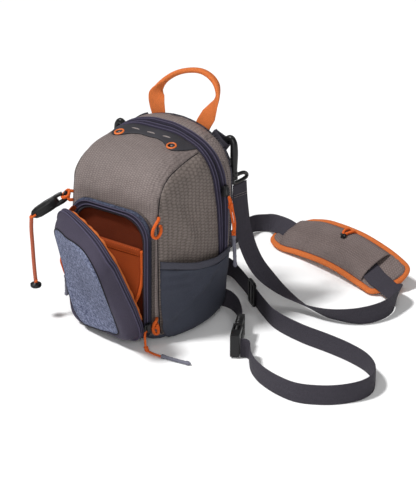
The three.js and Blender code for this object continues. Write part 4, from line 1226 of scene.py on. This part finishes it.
TAB_RIGHT = [
    (50, 67.4, 231.2, 0.5, 0, 0.9), (54.5, 67.4, 227.6, 0.6, 0, 0.8), (59, 67.4, 223.8, 0.6, 0, 0.8),
    (64, 67.3, 219.6, 0.6, 0, 0.8), (69.4, 69.4, 215.2, 0.6, 0, 0.8), (69.4, 74.6, 215.2, 0.6, 0, 0.8),
    (64, 77, 219.6, 0.6, 0, 0.8), (57.5, 73.6, 225, 0.6, 0, 0.8), (53.3, 71, 228.6, 0.6, 0, 0.8),
    (50, 69.8, 231.2, 0.5, 0, 0.9)]
TAB_LEFT = [
    (-49, 67.4, 229, -0.35, 0, 1), (-57, 67.4, 225.6, -0.4, 0, 0.9), (-70, 67.6, 216.4, -0.6, 0, 0.8),
    (-81, 67.4, 207.6, -0.6, 0, 0.8), (-88, 66.9, 202, -0.6, 0, 0.8), (-92.6, 69.4, 198.6, -0.6, 0, 0.8),
    (-92.6, 74.6, 198.6, -0.6, 0, 0.8), (-88, 77, 202, -0.6, 0, 0.8), (-80, 73.6, 208.4, -0.6, 0, 0.8),
    (-70, 71, 216.4, -0.6, 0, 0.8), (-58, 70.4, 225, -0.4, 0, 0.9), (-50, 69.8, 228.6, -0.35, 0, 1)]
STRAP_RIGHT = [
    (81.2, 83.6, 167.6, 0.1, 1, 0), (82.4, 83.6, 140, 0.2, 1, 0), (88, 85, 100, 0.3, 1, -0.1),
    (102, 92, 60, 0.3, 1, -0.15), (119, 105, 34, 0.25, 1, -0.25), (141, 112, 18, 0.2, 0.9, -0.4),
    (166, 113, 11, 0, 0.8, -0.55), (192, 111, 10.6, 0, 0.65, -0.75), (215, 115, 11.8, 0, 0.5, -0.85),
    (236, 127, 12.8, 0, 0.25, -0.95), (249, 150, 13.2, 0, 0, -1), (251, 178, 13.8, 0, -0.1, -1),
    (241, 206, 16, -0.1, -0.6, -0.75)]
STRAP_LEFT = [
    (-24, 298, 14, 0, -0.1, -1), (-40, 284, 13.4, 0, 0, -1), (-38, 250, 13.2, 0, 0, -1),
    (-34, 212, 13.2, 0, 0, -1), (-50, 175, 14, 0, 0, -1), (-76, 140, 24, -0.2, 0.2, -1),
    (-99, 110, 56, -0.2, 0.7, -0.6), (-105, 90, 100, 0, 1, -0.2), (-104.4, 84, 128, 0, 1, 0),
    (-104.2, 83.6, 147.6, 0, 1, 0)]
PAD_ROWS = [
    (1, 8), (0.95, 0), (0.84, 0), (0.7, 0), (0.55, 0), (0.4, 0), (0.25, 0), (0.12, 0), (0.04, 0), (0, -8)]
WAIST_LONG = [
    (-58, 67.4), (-50, 82), (-34, 118), (-8, 144), (16, 149), (50, 130), (85, 105), (124, 76), (158, 55),
    (204, 43), (250, 39), (282, 34), (312, 24), (335, 6), (346, -16), (345, -38), (331, -62), (312, -78),
    (288, -88), (260, -86), (230, -76), (213, -66), (200, -55), (189, -42), (182, -33.5), (176, -31.4),
    (169.4, -34.2)]
WAIST_SHORT = [(52, 67.3), (66, 68.6), (80, 67.2), (97, 58), (112, 44.6), (124, 31), (135.2, 14.9)]
WIDTH, THICK, TAB_WIDTH = 25.4, 1.8, 15

PAD_LINE = [
    (4, 290, 10, 0.15), (38, 280.5, 17.6, 0.4), (70, 273, 24, 0.5), (130, 257, 28, 0.5),
    (178, 244, 23, 0.5), (202, 237.6, 17.8, 0.42), (217, 233, 13, 0.3)]
PAD_FINE = catmull([r[:3] for r in PAD_LINE], 60)


def pad_frame(t):
    """Place, along, across and out on the pad's middle line, t from 0 to 1."""
    at = clamp01(t) * (len(PAD_FINE) - 1)
    k = int(min(len(PAD_FINE) - 2, at))
    p = lerp(PAD_FINE[k], PAD_FINE[k + 1], at - k)
    along = unit(PAD_FINE[min(len(PAD_FINE) - 1, k + 2)] - PAD_FINE[max(0, k - 1)])
    row = clamp01(t) * (len(PAD_LINE) - 1)
    j = int(min(len(PAD_LINE) - 2, row))
    tilt = np.array([0.23, 0.83, lerp(PAD_LINE[j][3], PAD_LINE[j + 1][3], row - j)])
    across = unit(tilt - along * np.dot(tilt, along))
    return p, along, across, np.cross(along, across)


def pad_half(t):
    end = t / 0.16 if t < 0.5 else (1 - t) / 0.12
    return 32 * (1 if end >= 1 else 0.4 + 0.6 * math.sqrt(1 - (1 - end) ** 2))


def build_straps():
    rows = list(STRAP_RIGHT)
    for t, beyond in PAD_ROWS:
        p, along, across, out = pad_frame(t)
        lean = 0.9 * clamp01(1 - t / 0.14)
        place = p + along * beyond + out * (6 + 6 * lean) - across * 12 * clamp01((t - 0.5) / 0.3)
        rows.append((*place, *-(across + out * lean)))
    rows += STRAP_LEFT
    on_edge = [[(x, y, WIDTH / 2 + 0.2, 0, 0, 1) for x, y in line] for line in (WAIST_LONG, WAIST_SHORT)]
    for name, line, width in (
            ("shoulder_strap", rows, WIDTH), ("waist_strap_long", on_edge[0], WIDTH),
            ("waist_strap_short", on_edge[1], WIDTH), ("strap_tab_right", TAB_RIGHT, TAB_WIDTH),
            ("strap_tab_left", TAB_LEFT, TAB_WIDTH)):
        ribbon(name, webbing_stations(line, width, THICK), "webbing", [name])
    ribbon("carry_handle", webbing_stations(HANDLE, 24, 2.2), "handle_web", ["carry_handle"], 3.6, 28)


def points_of(mesh):
    found = np.zeros(len(mesh.vertices) * 3)
    mesh.vertices.foreach_get("co", found)
    return found.reshape(-1, 3) / MM


PAD_VOXEL, PAD_PRESSURE, PAD_MOST, PAD_FRAMES = 2.5, 4, 1.0, 20


def swell(verts, faces):
    """Points and faces of a closed form after a short cloth simulation under inner pressure."""
    mesh = new_mesh("swell", verts, faces)
    outward(mesh)
    obj = add("swell", mesh)

    def shape():
        return bpy.data.meshes.new_from_object(obj.evaluated_get(bpy.context.evaluated_depsgraph_get()))

    grid = obj.modifiers.new("grid", "REMESH")
    grid.mode = "VOXEL"
    grid.voxel_size = PAD_VOXEL * MM
    obj.data = shape()
    obj.modifiers.clear()
    start = points_of(obj.data)
    cloth = obj.modifiers.new("cloth", "CLOTH")
    cloth.settings.use_pressure = True
    cloth.settings.uniform_pressure_force = PAD_PRESSURE
    cloth.settings.effector_weights.gravity = 0
    for step in range(1, PAD_FRAMES + 1):
        scene.frame_set(step)
    move = points_of(shape()) - start
    reach = np.linalg.norm(move, axis=1, keepdims=True)
    found = [tuple(f.vertices) for f in obj.data.polygons]
    bpy.data.objects.remove(obj)
    scene.frame_set(1)
    return start + move * np.minimum(1, PAD_MOST / np.maximum(reach, 1e-6)), found


PAD_STEPS = np.concatenate([np.linspace(0, 0.16, 14), np.linspace(0.18, 0.86, 36), np.linspace(0.88, 1, 12)])
PAD_ACROSS = 23
SLEEVE_HALF, SLEEVE_RIBS = 27.5, 60
PAD_LOOP = [
    (-6, 26.2, 2.6), (-5.6, 25.8, 7.4), (-5, 20, 12), (0, 12, 13.4), (5, 20, 12), (5.6, 25.8, 7.4),
    (6, 26.2, 2.6)]


def pad_place(t, along, across, out):
    p, *axes = pad_frame(t)
    return p + np.array([along, across, out]) @ axes


def pad_form():
    """Points and faces of the pad's closed form."""
    across = np.linspace(-1, 1, PAD_ACROSS)
    over = [(s, 1) for s in across] + [(s, -1) for s in across[-2:0:-1]]
    verts = [pad_place(t, 0, s * (pad_half(t) - 1), face * (3.4 - 2.0 * abs(s) ** 4))
             for t in PAD_STEPS for s, face in over]
    return verts, grid_faces(len(PAD_STEPS), len(over), False, True) + end_faces(len(PAD_STEPS), len(over))


def build_pad():
    verts, faces = swell(*pad_form())
    uv = [(np.dot(q, (0.97, -0.24, 0)), np.dot(q, (0.24, 0.97, 0))) for q in verts]
    body = piece("shoulder_pad", verts, faces, "pad_fabric", ["shoulder_pad"], uv, closed=True)
    loop = [(t, 1) for t in PAD_STEPS] + [(t, -1) for t in PAD_STEPS[::-1]]
    outs = [pad_frame(t)[3] for t, _ in loop]
    push = {0.0: -1.6, 1.0: 1.6}
    edge = [pad_place(t, push.get(t, 0), s * (pad_half(t) - 2.2), 0) for t, s in loop]
    tube("pad_binding", edge, 4.6, "orange_binding", ["pad_binding"], 18, True, 0.62, outs)
    line = [pad_place(t, 0, s * (pad_half(t) - 4.6), 2.6) for t, s in loop]
    stitches("pad_stitch", line + line[:1], outs + outs[:1], "lining", 3.0, 2.2, 0.8, 0.6)
    top = []
    for t in np.linspace(0.12, 0.72, 46):
        row = []
        for s in np.linspace(-1, 1, 101):
            rib = 0.4 * math.sin(s * SLEEVE_RIBS) * (1 - s ** 8)
            rib += 0.9 * noise.noise(Vector((t * 9, s * 2, 5)))
            row.append(pad_place(t, 0, s * SLEEVE_HALF, 2.6 + 8.6 * (1 - s ** 4) + rib))
        top.append(row)
    surface("pad_sleeve", top, "pad_fabric", ["pad_sleeve"], 1.3, False, facing=(0, -0.3, 1))
    loop = smooth([pad_place(0.47, *r) for r in PAD_LOOP], 10, 1.5)
    tube("pad_loop", loop, 1.9, "orange_cord", ["pad_loop"])
    knot("pad_loop_base", pad_place(0.47, 1, 10.5, 12.4), 3.6, 1.7, "hardware")


# Docking strip and eyelets.

def body_tree():
    bm = body_mesh()
    tree = BVHTree.FromBMesh(bm)
    bm.free()
    return tree


BODY_TREE = body_tree()


def drop(x, y, lift=0.0):
    """The top of the body over x, y, and its normal there."""
    place, normal, _, _ = BODY_TREE.ray_cast(Vector((x, y, 400)), Vector((0, 0, -1)))
    return np.array(place + normal * lift), np.array(normal)


def top_ring(name, x, profile, look, nodes=()):
    """A turned ring on the docking strip."""
    centre, normal = drop(x, EYELET_Y)
    side = unit(np.cross(normal, (0, 1, 0)))
    surface(name, turned(centre, normal, side, profile, 40), look, nodes, closed=True)


EYELET_X, EYELET_Y, SLOT_Y = 40.5, -1, 10.8
UPWARD = (0, -0.2, 1)
EYELET = [(4.5, 0.4), (4.5, 2.3), (4.9, 2.8), (5.6, 3.0), (6.3, 2.7), (6.7, 1.4)]


def build_docking():
    bm = body_mesh()
    cut(bm, lambda p: p.y - zip_front(p.z) if p.z > 150 else -FAR_OFF)
    for shift in (0, 1.2, 3):
        cut(bm, lambda p: p.y - shift - STRIP_EDGE(abs(p.x)) if p.z > STRIP_FOOT else -FAR_OFF)
    panel("docking_strip", bm, lambda p: p.z > 195 and ahead(p) and p.y > STRIP_EDGE(abs(p.x)), "docking",
          ["docking_strip"], lambda p: (p.x, p.y), thick=1.5, puff=0.9, soft=1.2, base=1.0)
    bm.free()
    for i, x in enumerate((-24, 0, 24)):
        rim, inner = [], []
        for a in around(28):
            px, py = math.cos(a) * 7, math.copysign(abs(math.sin(a)) ** 1.4, math.sin(a)) * 2.2
            rim.append(drop(x + px, SLOT_Y + py, 1.7)[0])
            inner.append(drop(x + px * 0.86, SLOT_Y + py * 0.62, 2.5 - 1.1 * (py < 0))[0])
        surface("strip_slot_%d" % i, [rim, inner], "docking", facing=UPWARD)
        cap = drop(x, SLOT_Y, 1.95)[0]
        surface("strip_slot_base_%d" % i, [inner], "thread", facing=UPWARD, cap=cap)
    for side, name in SIDES:
        x = side * EYELET_X
        top_ring("eyelet_" + name, x, EYELET, "eyelet", ["eyelet_" + name])
        # Painted shade: a dark disc fills the eyelet's hole.
        top_ring("eyelet_shade_disc_" + name, x, [(4.7, 1.9), (3.0, 1.8), (1.2, 1.9)], "slider")
        # Painted glint: a small light dot in the middle of the eyelet's hole.
        top_ring("eyelet_painted_glint_" + name, x, [(1.3, 1.95), (0.8, 2.0), (0.2, 2.0)], "thread")


build_docking()


# Cord loops, tippet clip and zip pulls.

CORNER = EDGE_STEPS[0] + 1 + ARC_STEPS[1] // 2 - 1


def seam_point(side, z, out, over=0.0):
    ring = body_ring(z)
    level = ring[CORNER + 1] - ring[CORNER - 1]
    n = unit(np.cross(level, body_ring(z + 2)[CORNER] - body_ring(z - 2)[CORNER]))
    p = ring[CORNER] + n * out + np.array([n[1], -n[0], 0]) * over
    return np.array([side * p[0], p[1], p[2]])


LOOP_UPPER = [
    (165, 0.7, -3), (164, 4.6, -2.4), (158.6, 7.6, 1.4), (151.6, 8.6, 4.6), (145.4, 8.4, 4.4),
    (142.4, 7.8, 0.8), (145, 6.8, -3.2), (150, 5.6, -5.4), (153.6, 4, -5.6), (155, 0.7, -5)]
LOOP_LOWER = [
    (33, 0.7, 0), (32, 5, 1), (27, 7.4, 4.6), (20.5, 7.8, 5.4), (15.4, 7, 2.6), (15.6, 6.8, -0.4),
    (20, 6, -1), (24.6, 4.4, -0.4), (26, 0.7, 0.4)]
CLIP = np.array([-77.0, -71.0, 160.0])
CLIP_DOWN = unit(np.array([-0.6, -0.6, -0.53]))
CLIP_FACE = unit(np.array([1.0, -1.0, 0.0]))
CLIP_SIDE = np.cross(CLIP_FACE, CLIP_DOWN)


def clip_at(along, side, face):
    return CLIP + CLIP_DOWN * along + CLIP_SIDE * side + CLIP_FACE * face


def knot(name, centre, size, radius, look="orange_cord", axis=(0, 0, 1)):
    """An overhand knot of the cord."""
    axis = unit(np.asarray(axis, float))
    side = unit(np.cross(axis, (0.3, 1, 0.2)))
    front = np.cross(axis, side)
    path = []
    for t in around(54):
        a, b, c = math.sin(t) + 2 * math.sin(2 * t), math.cos(t) - 2 * math.cos(2 * t), -math.sin(3 * t)
        path.append(np.asarray(centre) + (side * a + axis * b + front * c * 1.1) * size / 3)
    return tube(name, path, radius, look, (), 10, True)


def cord(name, points, diameter=2.8, look="cord_line"):
    """A free cord: one open curve."""
    path = smooth(points, 12, 2.0)
    curve = bpy.data.curves.new(name, "CURVE")
    curve.dimensions = "3D"
    curve.bevel_depth = diameter / 2 * MM
    curve.bevel_resolution = 4
    curve.use_fill_caps = True
    spline = curve.splines.new("POLY")
    spline.points.add(len(path) - 1)
    for spot, p in zip(spline.points, path):
        spot.co = (*(p * MM), 1)
    obj = add(name, curve)
    curve.materials.append(MAT[look])
    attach(obj, "root")
    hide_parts(name)


def rubber_tip(name, points, radius):
    """A stepped rubber grip over the cord's end, with rings and a rounded tail."""
    path = smooth(points, 12, 0.8)
    n = len(path)
    radii = []
    for i in range(n):
        t = i / (n - 1)
        r = radius * (0.86 if t > 0.12 else 1.12)
        if 0.2 < t < 0.8 and (i // 3) % 3 == 0:
            r *= 1.08
        if t > 0.86:
            r = radius * (1.1 if t < 0.95 else 0.7)
        if i in (0, n - 1):
            r *= 0.6
        radii.append(r)
    return tube(name, path, radii, "pull_tip", [name], 16)


def strand(name, points, shift, radius):
    path = smooth(points, 12, 2.0)
    sway = np.sin(np.linspace(0, 1, len(path)) * math.pi) ** 0.5
    return tube(name, path + np.outer(sway, shift), radius, "orange_cord", (), 10)


MAIN_PULL = [
    (94.1, 42.5, 167), (95.2, 43.7, 158), (95.6, 45.7, 145), (96.4, 48.7, 130), (96.4, 50.7, 113)]
MAIN_TIP = [(96.4, 50.8, 112.6), (96.6, 52.5, 90), (96.6, 54, 68)]
RIGHT_PULL = [
    (63.4, -82.3, 22), (63.4, -84.6, 21.4), (66.5, -88.4, 9), (69.6, -90.6, 3), (78, -92, 1.8),
    (86, -92.6, 1.8), (94, -92.6, 1.9)]
RIGHT_TIP = [(94.4, -92.6, 2.6), (115, -91, 2.6), (135, -88, 2.6)]
LEFT_PULL = [
    (-63.4, -82.3, 95), (-63.5, -84.6, 94.4), (-66.4, -84.6, 83), (-67, -81, 72), (-67, -78.5, 61)]
LEFT_TIP = [(-67, -78.4, 60.6), (-67.2, -78, 46), (-67.4, -78, 32)]


STOP = ((0.2, 0.2), (3.2, 0.1), (3.4, -0.6), (6.2, -0.8), (7.0, -1.6), (7.0, -4.4), (6.2, -5.6), (2.4, -5.8),
        (0.2, -5.8))
TIPPET_DROPS = np.array([(0, 0, 0), (-1, 0, -16), (0, 0, -38), (2, -1, -62), (4, -1, -88)])
clip_width = table([(5, 13), (9, 15), (20, 16), (34, 15), (40, 12), (43, 7)])
clip_depth = table([(5, 4), (9, 6), (20, 7), (36, 6.4), (43, 3)])


def build_pulls():
    extra = [rubber_tip("main_pull_tip", MAIN_TIP, 2.6),
             strand("main_pull_strand", MAIN_PULL, (2.4, 1.8, 0), 1.3),
             knot("main_pull_knot", (95.4, 45.2, 153), 3.2, 1.4),
             knot("main_pull_knot_low", (96.5, 50.6, 114), 2.8, 1.3)]
    cord("main_pull", MAIN_PULL)
    for name, line, tip, shift, place, axis, lay in (
            ("right", RIGHT_PULL, RIGHT_TIP, (1.6, -1.6, 0.9), (70.4, -91.2, 4.4), (1, -0.2, -0.3), "loose"),
            ("left", LEFT_PULL, LEFT_TIP, (-1.8, -1.4, 0), (-66.7, -83.2, 79), (0, 0, 1), "hanging")):
        extra = [rubber_tip("pocket_tip_" + name, tip, 2.4),
                 strand("pocket_strand_" + name, line, shift, 1.2),
                 knot("pocket_knot_" + name, place, 3.0, 1.3, axis=axis)]
        cord("pocket_pull_" + name, line)


def build_tippet():
    line = clip_at(44.4, 0, 0) + TIPPET_DROPS
    rows = turned(line[-1], np.array([0, 0, 1]), np.array([1, 0, 0]), STOP, 36)
    stop = surface("tippet_stop", rows, "hardware", ["tippet_stop"], closed=True)
    tail = knot("tippet_knot", line[-1] + (0, 0, 2.0), 2.6, 1.2)
    cord("tippet_cord", line, 5.0, look="sheath")
    body = [(clip_at(a, 0, 0), CLIP_SIDE, clip_width(a), clip_depth(a)) for a in np.linspace(5, 43, 26)]
    ribbon("tippet_clip", body, "hardware", ["tippet_clip"], 3.4, 28)
    for i, b in enumerate((-3, 3)):
        for face in (1, -1):
            rib = [clip_at(a, b, face * (clip_depth(a) / 2 - 0.3)) for a in np.linspace(15, 39, 20)]
            tube("clip_rib_%d_%d" % (i, face), rib, 1.0, "slider", (), 8)
    hook = [(16, 4.4, 0), (8, 5.0, 0), (0, 5.2, 0), (-5.4, 3.6, 0), (-7.6, 0, 0), (-6, -3.2, 0)]
    tie = [(38, 0, 3), (43.5, 0, 3.4), (46.4, 0, 0), (43.5, 0, -3.4), (38, 0, -3)]
    gate = [(16, -4.0, 0), (9, -4.8, 0), (2, -4.8, 0), (-3.4, -3.8, 0)]
    for name, rows, per_span, radius, look, sides in (
            ("clip_hook", hook, 10, 3.0, "hardware", 14), ("tippet_tie", tie, 8, 1.3, "orange_cord", 10),
            ("clip_gate", gate, 8, 2.5, "slider", 12)):
        tube(name, smooth([clip_at(*r) for r in rows], per_span, 1.2), radius, look, (), sides)


def build_loops():
    left = [seam_point(-1, 168, 0.7), seam_point(-1, 168.5, 5), clip_at(-9.5, 0, 8.2), clip_at(-2, 0, 4),
            clip_at(-2, 0, -4), clip_at(-11.5, 0, -8), seam_point(-1, 157.5, 6), seam_point(-1, 157, 0.7)]
    lines = [("loop_upper_right", [seam_point(1, *r) for r in LOOP_UPPER], 8), ("loop_upper_left", left, 10)]
    for side, name in SIDES:
        lines.append(("loop_lower_" + name, [seam_point(side, *r) for r in LOOP_LOWER], 8))
        knot("loop_knot_" + name, seam_point(side, 25, 5.6, 1.2), 3.0, 1.4)
    for name, line, per_span in lines:
        tube(name, smooth(line, per_span, 1.5), 2.0, "orange_cord", [name])


build_straps()
build_pad()
build_pulls()
build_tippet()
build_loops()


# Hooks, buckles and sliders.

HOOK_RIGHT = [
    (81, 71.8, 184), (81, 71.8, 201), (81, 71.8, 216), (80, 71.8, 224), (76.5, 71.8, 228.6),
    (72, 72, 227.6), (67.5, 72, 221.8), (62.5, 72, 214.5)]
HOOK_LEFT = [
    (-104, 71.8, 164), (-104, 71.8, 180), (-104, 71.8, 200), (-103, 71.8, 209), (-99, 71.8, 213),
    (-94, 72, 210), (-88.6, 72, 202.4), (-82.8, 72, 194.6)]


COLLAR = [(3.4, -2.4), (4.7, -1.6), (4.7, 1.2), (4.0, 1.8), (4.0, 2.8), (4.6, 3.4), (4.6, 7.6), (3.6, 8.6)]
SWIVEL = [(-14.4, 3), (-11, 6.4), (8, 6), (14.4, 2), (14.4, -0.5), (11, -2), (-11, -2), (-14.4, -0.5)]
HOOK_Y, SWIVEL_Y, SWIVEL_DROP = 71.8, 84.0, 11.2


def collar(name, centre):
    """A turned, closed form on an upright axis."""
    axis, turns = np.array([0.0, 0.0, 1.0]), 28
    rows = turned(np.array(centre), axis, unit(np.cross(axis, (0.3, 0.5, 0.8))), COLLAR, turns)
    faces = grid_faces(len(rows), turns, False, True) + end_faces(len(rows), turns)
    uv = [(k, i) for i in range(len(rows)) for k in range(turns)]
    piece(name, [p for row in rows for p in row], faces, "hardware", (), uv, closed=True)


def build_hooks():
    for (side, name), line in zip(SIDES, (HOOK_RIGHT, HOOK_LEFT)):
        x, _, z = line[0]
        path = smooth(line, 12, 1.2)
        radii = 3.9 + 1.0 * np.exp(-((np.linspace(0, 1, len(path)) - 0.38) / 0.26) ** 2)
        radii[0] *= 0.7
        radii[-2:] *= (0.92, 0.6)
        tube("snap_hook_" + name, path, radii, "hardware", ["snap_hook_" + name], 20)
        foot = np.array([x - side * 3.2, HOOK_Y, z + 8])
        gate = [lerp(foot, path[-3], k) for k in np.linspace(0, 0.96, 24)]
        tube("snap_gate_" + name, gate, 2.1 - 0.5 * np.linspace(0, 1, 24) ** 2, "slider", (), 14)
        collar("hook_collar_" + name, (x, HOOK_Y + 0.1, z - 6))
        ring = smooth([(x, SWIVEL_Y + y, z - SWIVEL_DROP + h) for y, h in SWIVEL], 10, 1.2, True)
        tube("swivel_loop_" + name, ring, 2.4, "hardware", ["swivel_loop_" + name], 16, True)


BUCKLE = np.array([149.3, -11.0, 16.2])
BUCKLE_LONG = unit(np.array([0.48, -0.877, 0.0]))
BUCKLE_OUT = np.cross(BUCKLE_LONG, (0, 0, 1))
BUCKLE_GRIP = (-26, -22.4, -18.8, -15.2, -11.6, -8, -4.4)


UP = np.array([0.0, 0.0, 1.0])
FROM_SOLIDS = (
    ("buckle_female", "hardware", 0.9), ("buckle_male", "hardware", 0.8), ("ladder_lock", "hardware", 0.7),
    ("main_slider", "slider", 1.0), ("pocket_slider_right", "slider", 0.9),
    ("pocket_slider_left", "slider", 0.9))
BAIL = ((-0.6, 5.4), (1.8, 4.6), (2.5, 1), (2.5, -4.6), (1.4, -6.6))


def buckle_at(along, out, high):
    return BUCKLE + BUCKLE_LONG * along + BUCKLE_OUT * out + UP * high


def build_hardware():
    for name, look, bevel in FROM_SOLIDS:
        from_node(name, look, bevel)
    ribs = []
    for side in (1, -1):
        for steps, out in (((2, 6, 10, 14), 5.5), ((-5, -9, -13, -17), 4.2)):
            ribs += [(buckle_at(along, side * out, 0), UP, BUCKLE_OUT * side) for along in steps]
    boxes("buckle_ribs", ribs, (20, 1.9, 1.6), "hardware")
    grip = [(buckle_at(a, 0, 14 - abs(a + 14) * 0.1), BUCKLE_OUT, UP) for a in BUCKLE_GRIP]
    boxes("buckle_grip", grip, (7.8, 1.8, 1.8), "hardware")
    catch = [(buckle_at(a, 0, 13), BUCKLE_OUT, UP) for a in (8.4, 11.4, 14.4, 17.4)]
    boxes("buckle_catch", catch, (5.8, 1.7, 4.4), "hardware")
    for name, place, out in (("main", (91.6, 42.2, 172), (1, 0, 0)), ("right", (62.9, -81.4, 25), FORWARD),
                             ("left", (-62.9, -81.4, 98), FORWARD)):
        bail = [np.array(place) + np.array(out) * o + UP * h for o, h in BAIL]
        tube("slider_bail_" + name, smooth(bail, 8, 1.0), 1.3, "slider", (), 12)


build_hooks()
build_hardware()


# Trim: the lid's rolled edge and stay, zip ridges, seams and stitching.

ROLL_FOOT = 34
STAY = [(-52, -78, 150, 0.5, 0.3, 0.8), (-50, -84, 155, 0.5, 0.3, 0.8), (-46, -92, 158, 0.5, 0.3, 0.8),
        (-42, -98, 160, 0.5, 0.3, 0.8)]
SEAM_STITCH = (3.2, 2.0, 0.5, 0.5)
ZIP_SWEEP, ZIP_STEPS, ZIP_TRIES = (math.radians(-28), math.radians(208)), 150, 5
ZIP_MIDDLE = (40.0, 130)
SEAM_SWEEP, SEAM_STEPS = (math.radians(-50), math.radians(110)), 120
SEAM_MIDDLE, SEAM_FOOT = (10, 90), 10


def build_trim():
    loop = lid_loop(3.6, lambda x, h: -2.6)
    count = len(loop)
    high = [i for i in range(count) if loop[i][2] > ROLL_FOOT]
    first = next(i for i in high if loop[i - 1][2] <= ROLL_FOOT)
    path = [loop[(first + k) % count] for k in range(len(high))]
    path = even([p + np.array([0, 1.2, 1.2]) * noise.noise(Vector(p) / 13) for p in path], 2.0)
    tube("lid_roll", path, [2.4 + 1.1 * noise.noise(Vector(p) / 9) for p in path], "orange_binding", (), 12)
    ribbon("lid_stay", webbing_stations(STAY, 12, 1.6, 8), "lining")
    strap = webbing_stations(STRAP_RIGHT[:2], WIDTH, THICK)
    for k, (p, w, _, thick) in enumerate(strap[5:7]):
        w = unit(w)
        for face in (1, -1):
            out = unit(np.cross((0, 0, -1), w)) * face
            line = [p + w * s * 11.4 + out * (thick / 2 + 0.1) for s in np.linspace(-1, 1, 12)]
            stitches("strap_stitch_%d_%d" % (k, face), line, [out] * 12, "thread", 2.6, 1.7, 0.6, 0.5)
    for sign, name in SIDES:
        line, ups = [], []
        for z in np.linspace(96, 205, 60):
            hit = BODY_TREE.ray_cast(Vector((sign * 200, zip_rear(z) + 2.6, z)), Vector((-sign, 0, 0)))
            line.append(np.array(hit[0] + hit[1] * 1.1))
            ups.append(np.array(hit[1]))
        stitches("gusset_stitch_" + name, line, ups, "dark_thread", *SEAM_STITCH)


def zip_line(share, lift):
    """A line along the main zip from its right end to its left end, with the body's normals."""
    line, ups = [], []
    for a in np.linspace(*ZIP_SWEEP, ZIP_STEPS):
        y = ZIP_MIDDLE[0]
        for _ in range(ZIP_TRIES):
            hit = BODY_TREE.ray_cast(Vector((0, y, ZIP_MIDDLE[1])), Vector((math.cos(a), 0, math.sin(a))))
            z = hit[0].z
            y = lerp(zip_front(z), zip_rear(z), share)
        if z > ZIP_END + 1:
            line.append(np.array(hit[0] + hit[1] * lift))
            ups.append(np.array(hit[1]))
    return line, ups


def build_zip_trim():
    # Raised ridges along the main zip, in the lighter tape with a painted highlight.
    for i, (share, lift) in enumerate(((0.13, 1.1), (0.34, 1.1), (0.66, 1.6), (0.86, 1.8))):
        line, _ = zip_line(share, lift)
        tube("zip_ridge_%d" % i, even(line, 2.5), 0.7, "zip_ridge_highlight", (), 8)
    line, ups = zip_line(0.53, -1.2)
    stitches("zip_coil", line, ups, "coil", 1.7, 0.9, 3.0, 1.4)


def build_seams():
    """The sunk seams between the front and the sides, with a row of stitches beside them."""
    for sign, name in SIDES:
        line = []
        for a in np.linspace(*SEAM_SWEEP, SEAM_STEPS):
            ray = Vector((0, -math.cos(a), math.sin(a)))
            hit = BODY_TREE.ray_cast(Vector((sign * SEAM_X, *SEAM_MIDDLE)), ray)[0]
            if hit is not None and hit.z >= SEAM_FOOT and ahead(hit):
                line.append(np.array(hit))
        tube("front_seam_" + name, even(line, 2.5), 0.7, "dark_thread", (), 8)
        near = [BODY_TREE.find_nearest(Vector(p + (sign * 2.0, 1.2, -0.4))) for p in line]
        ups = [np.array(hit[1]) for hit in near]
        beside = [np.array(hit[0]) + up * 0.6 for hit, up in zip(near, ups)]
        stitches("front_seam_stitch_" + name, beside, ups, "dark_thread", *SEAM_STITCH)


build_trim()
build_zip_trim()
build_seams()
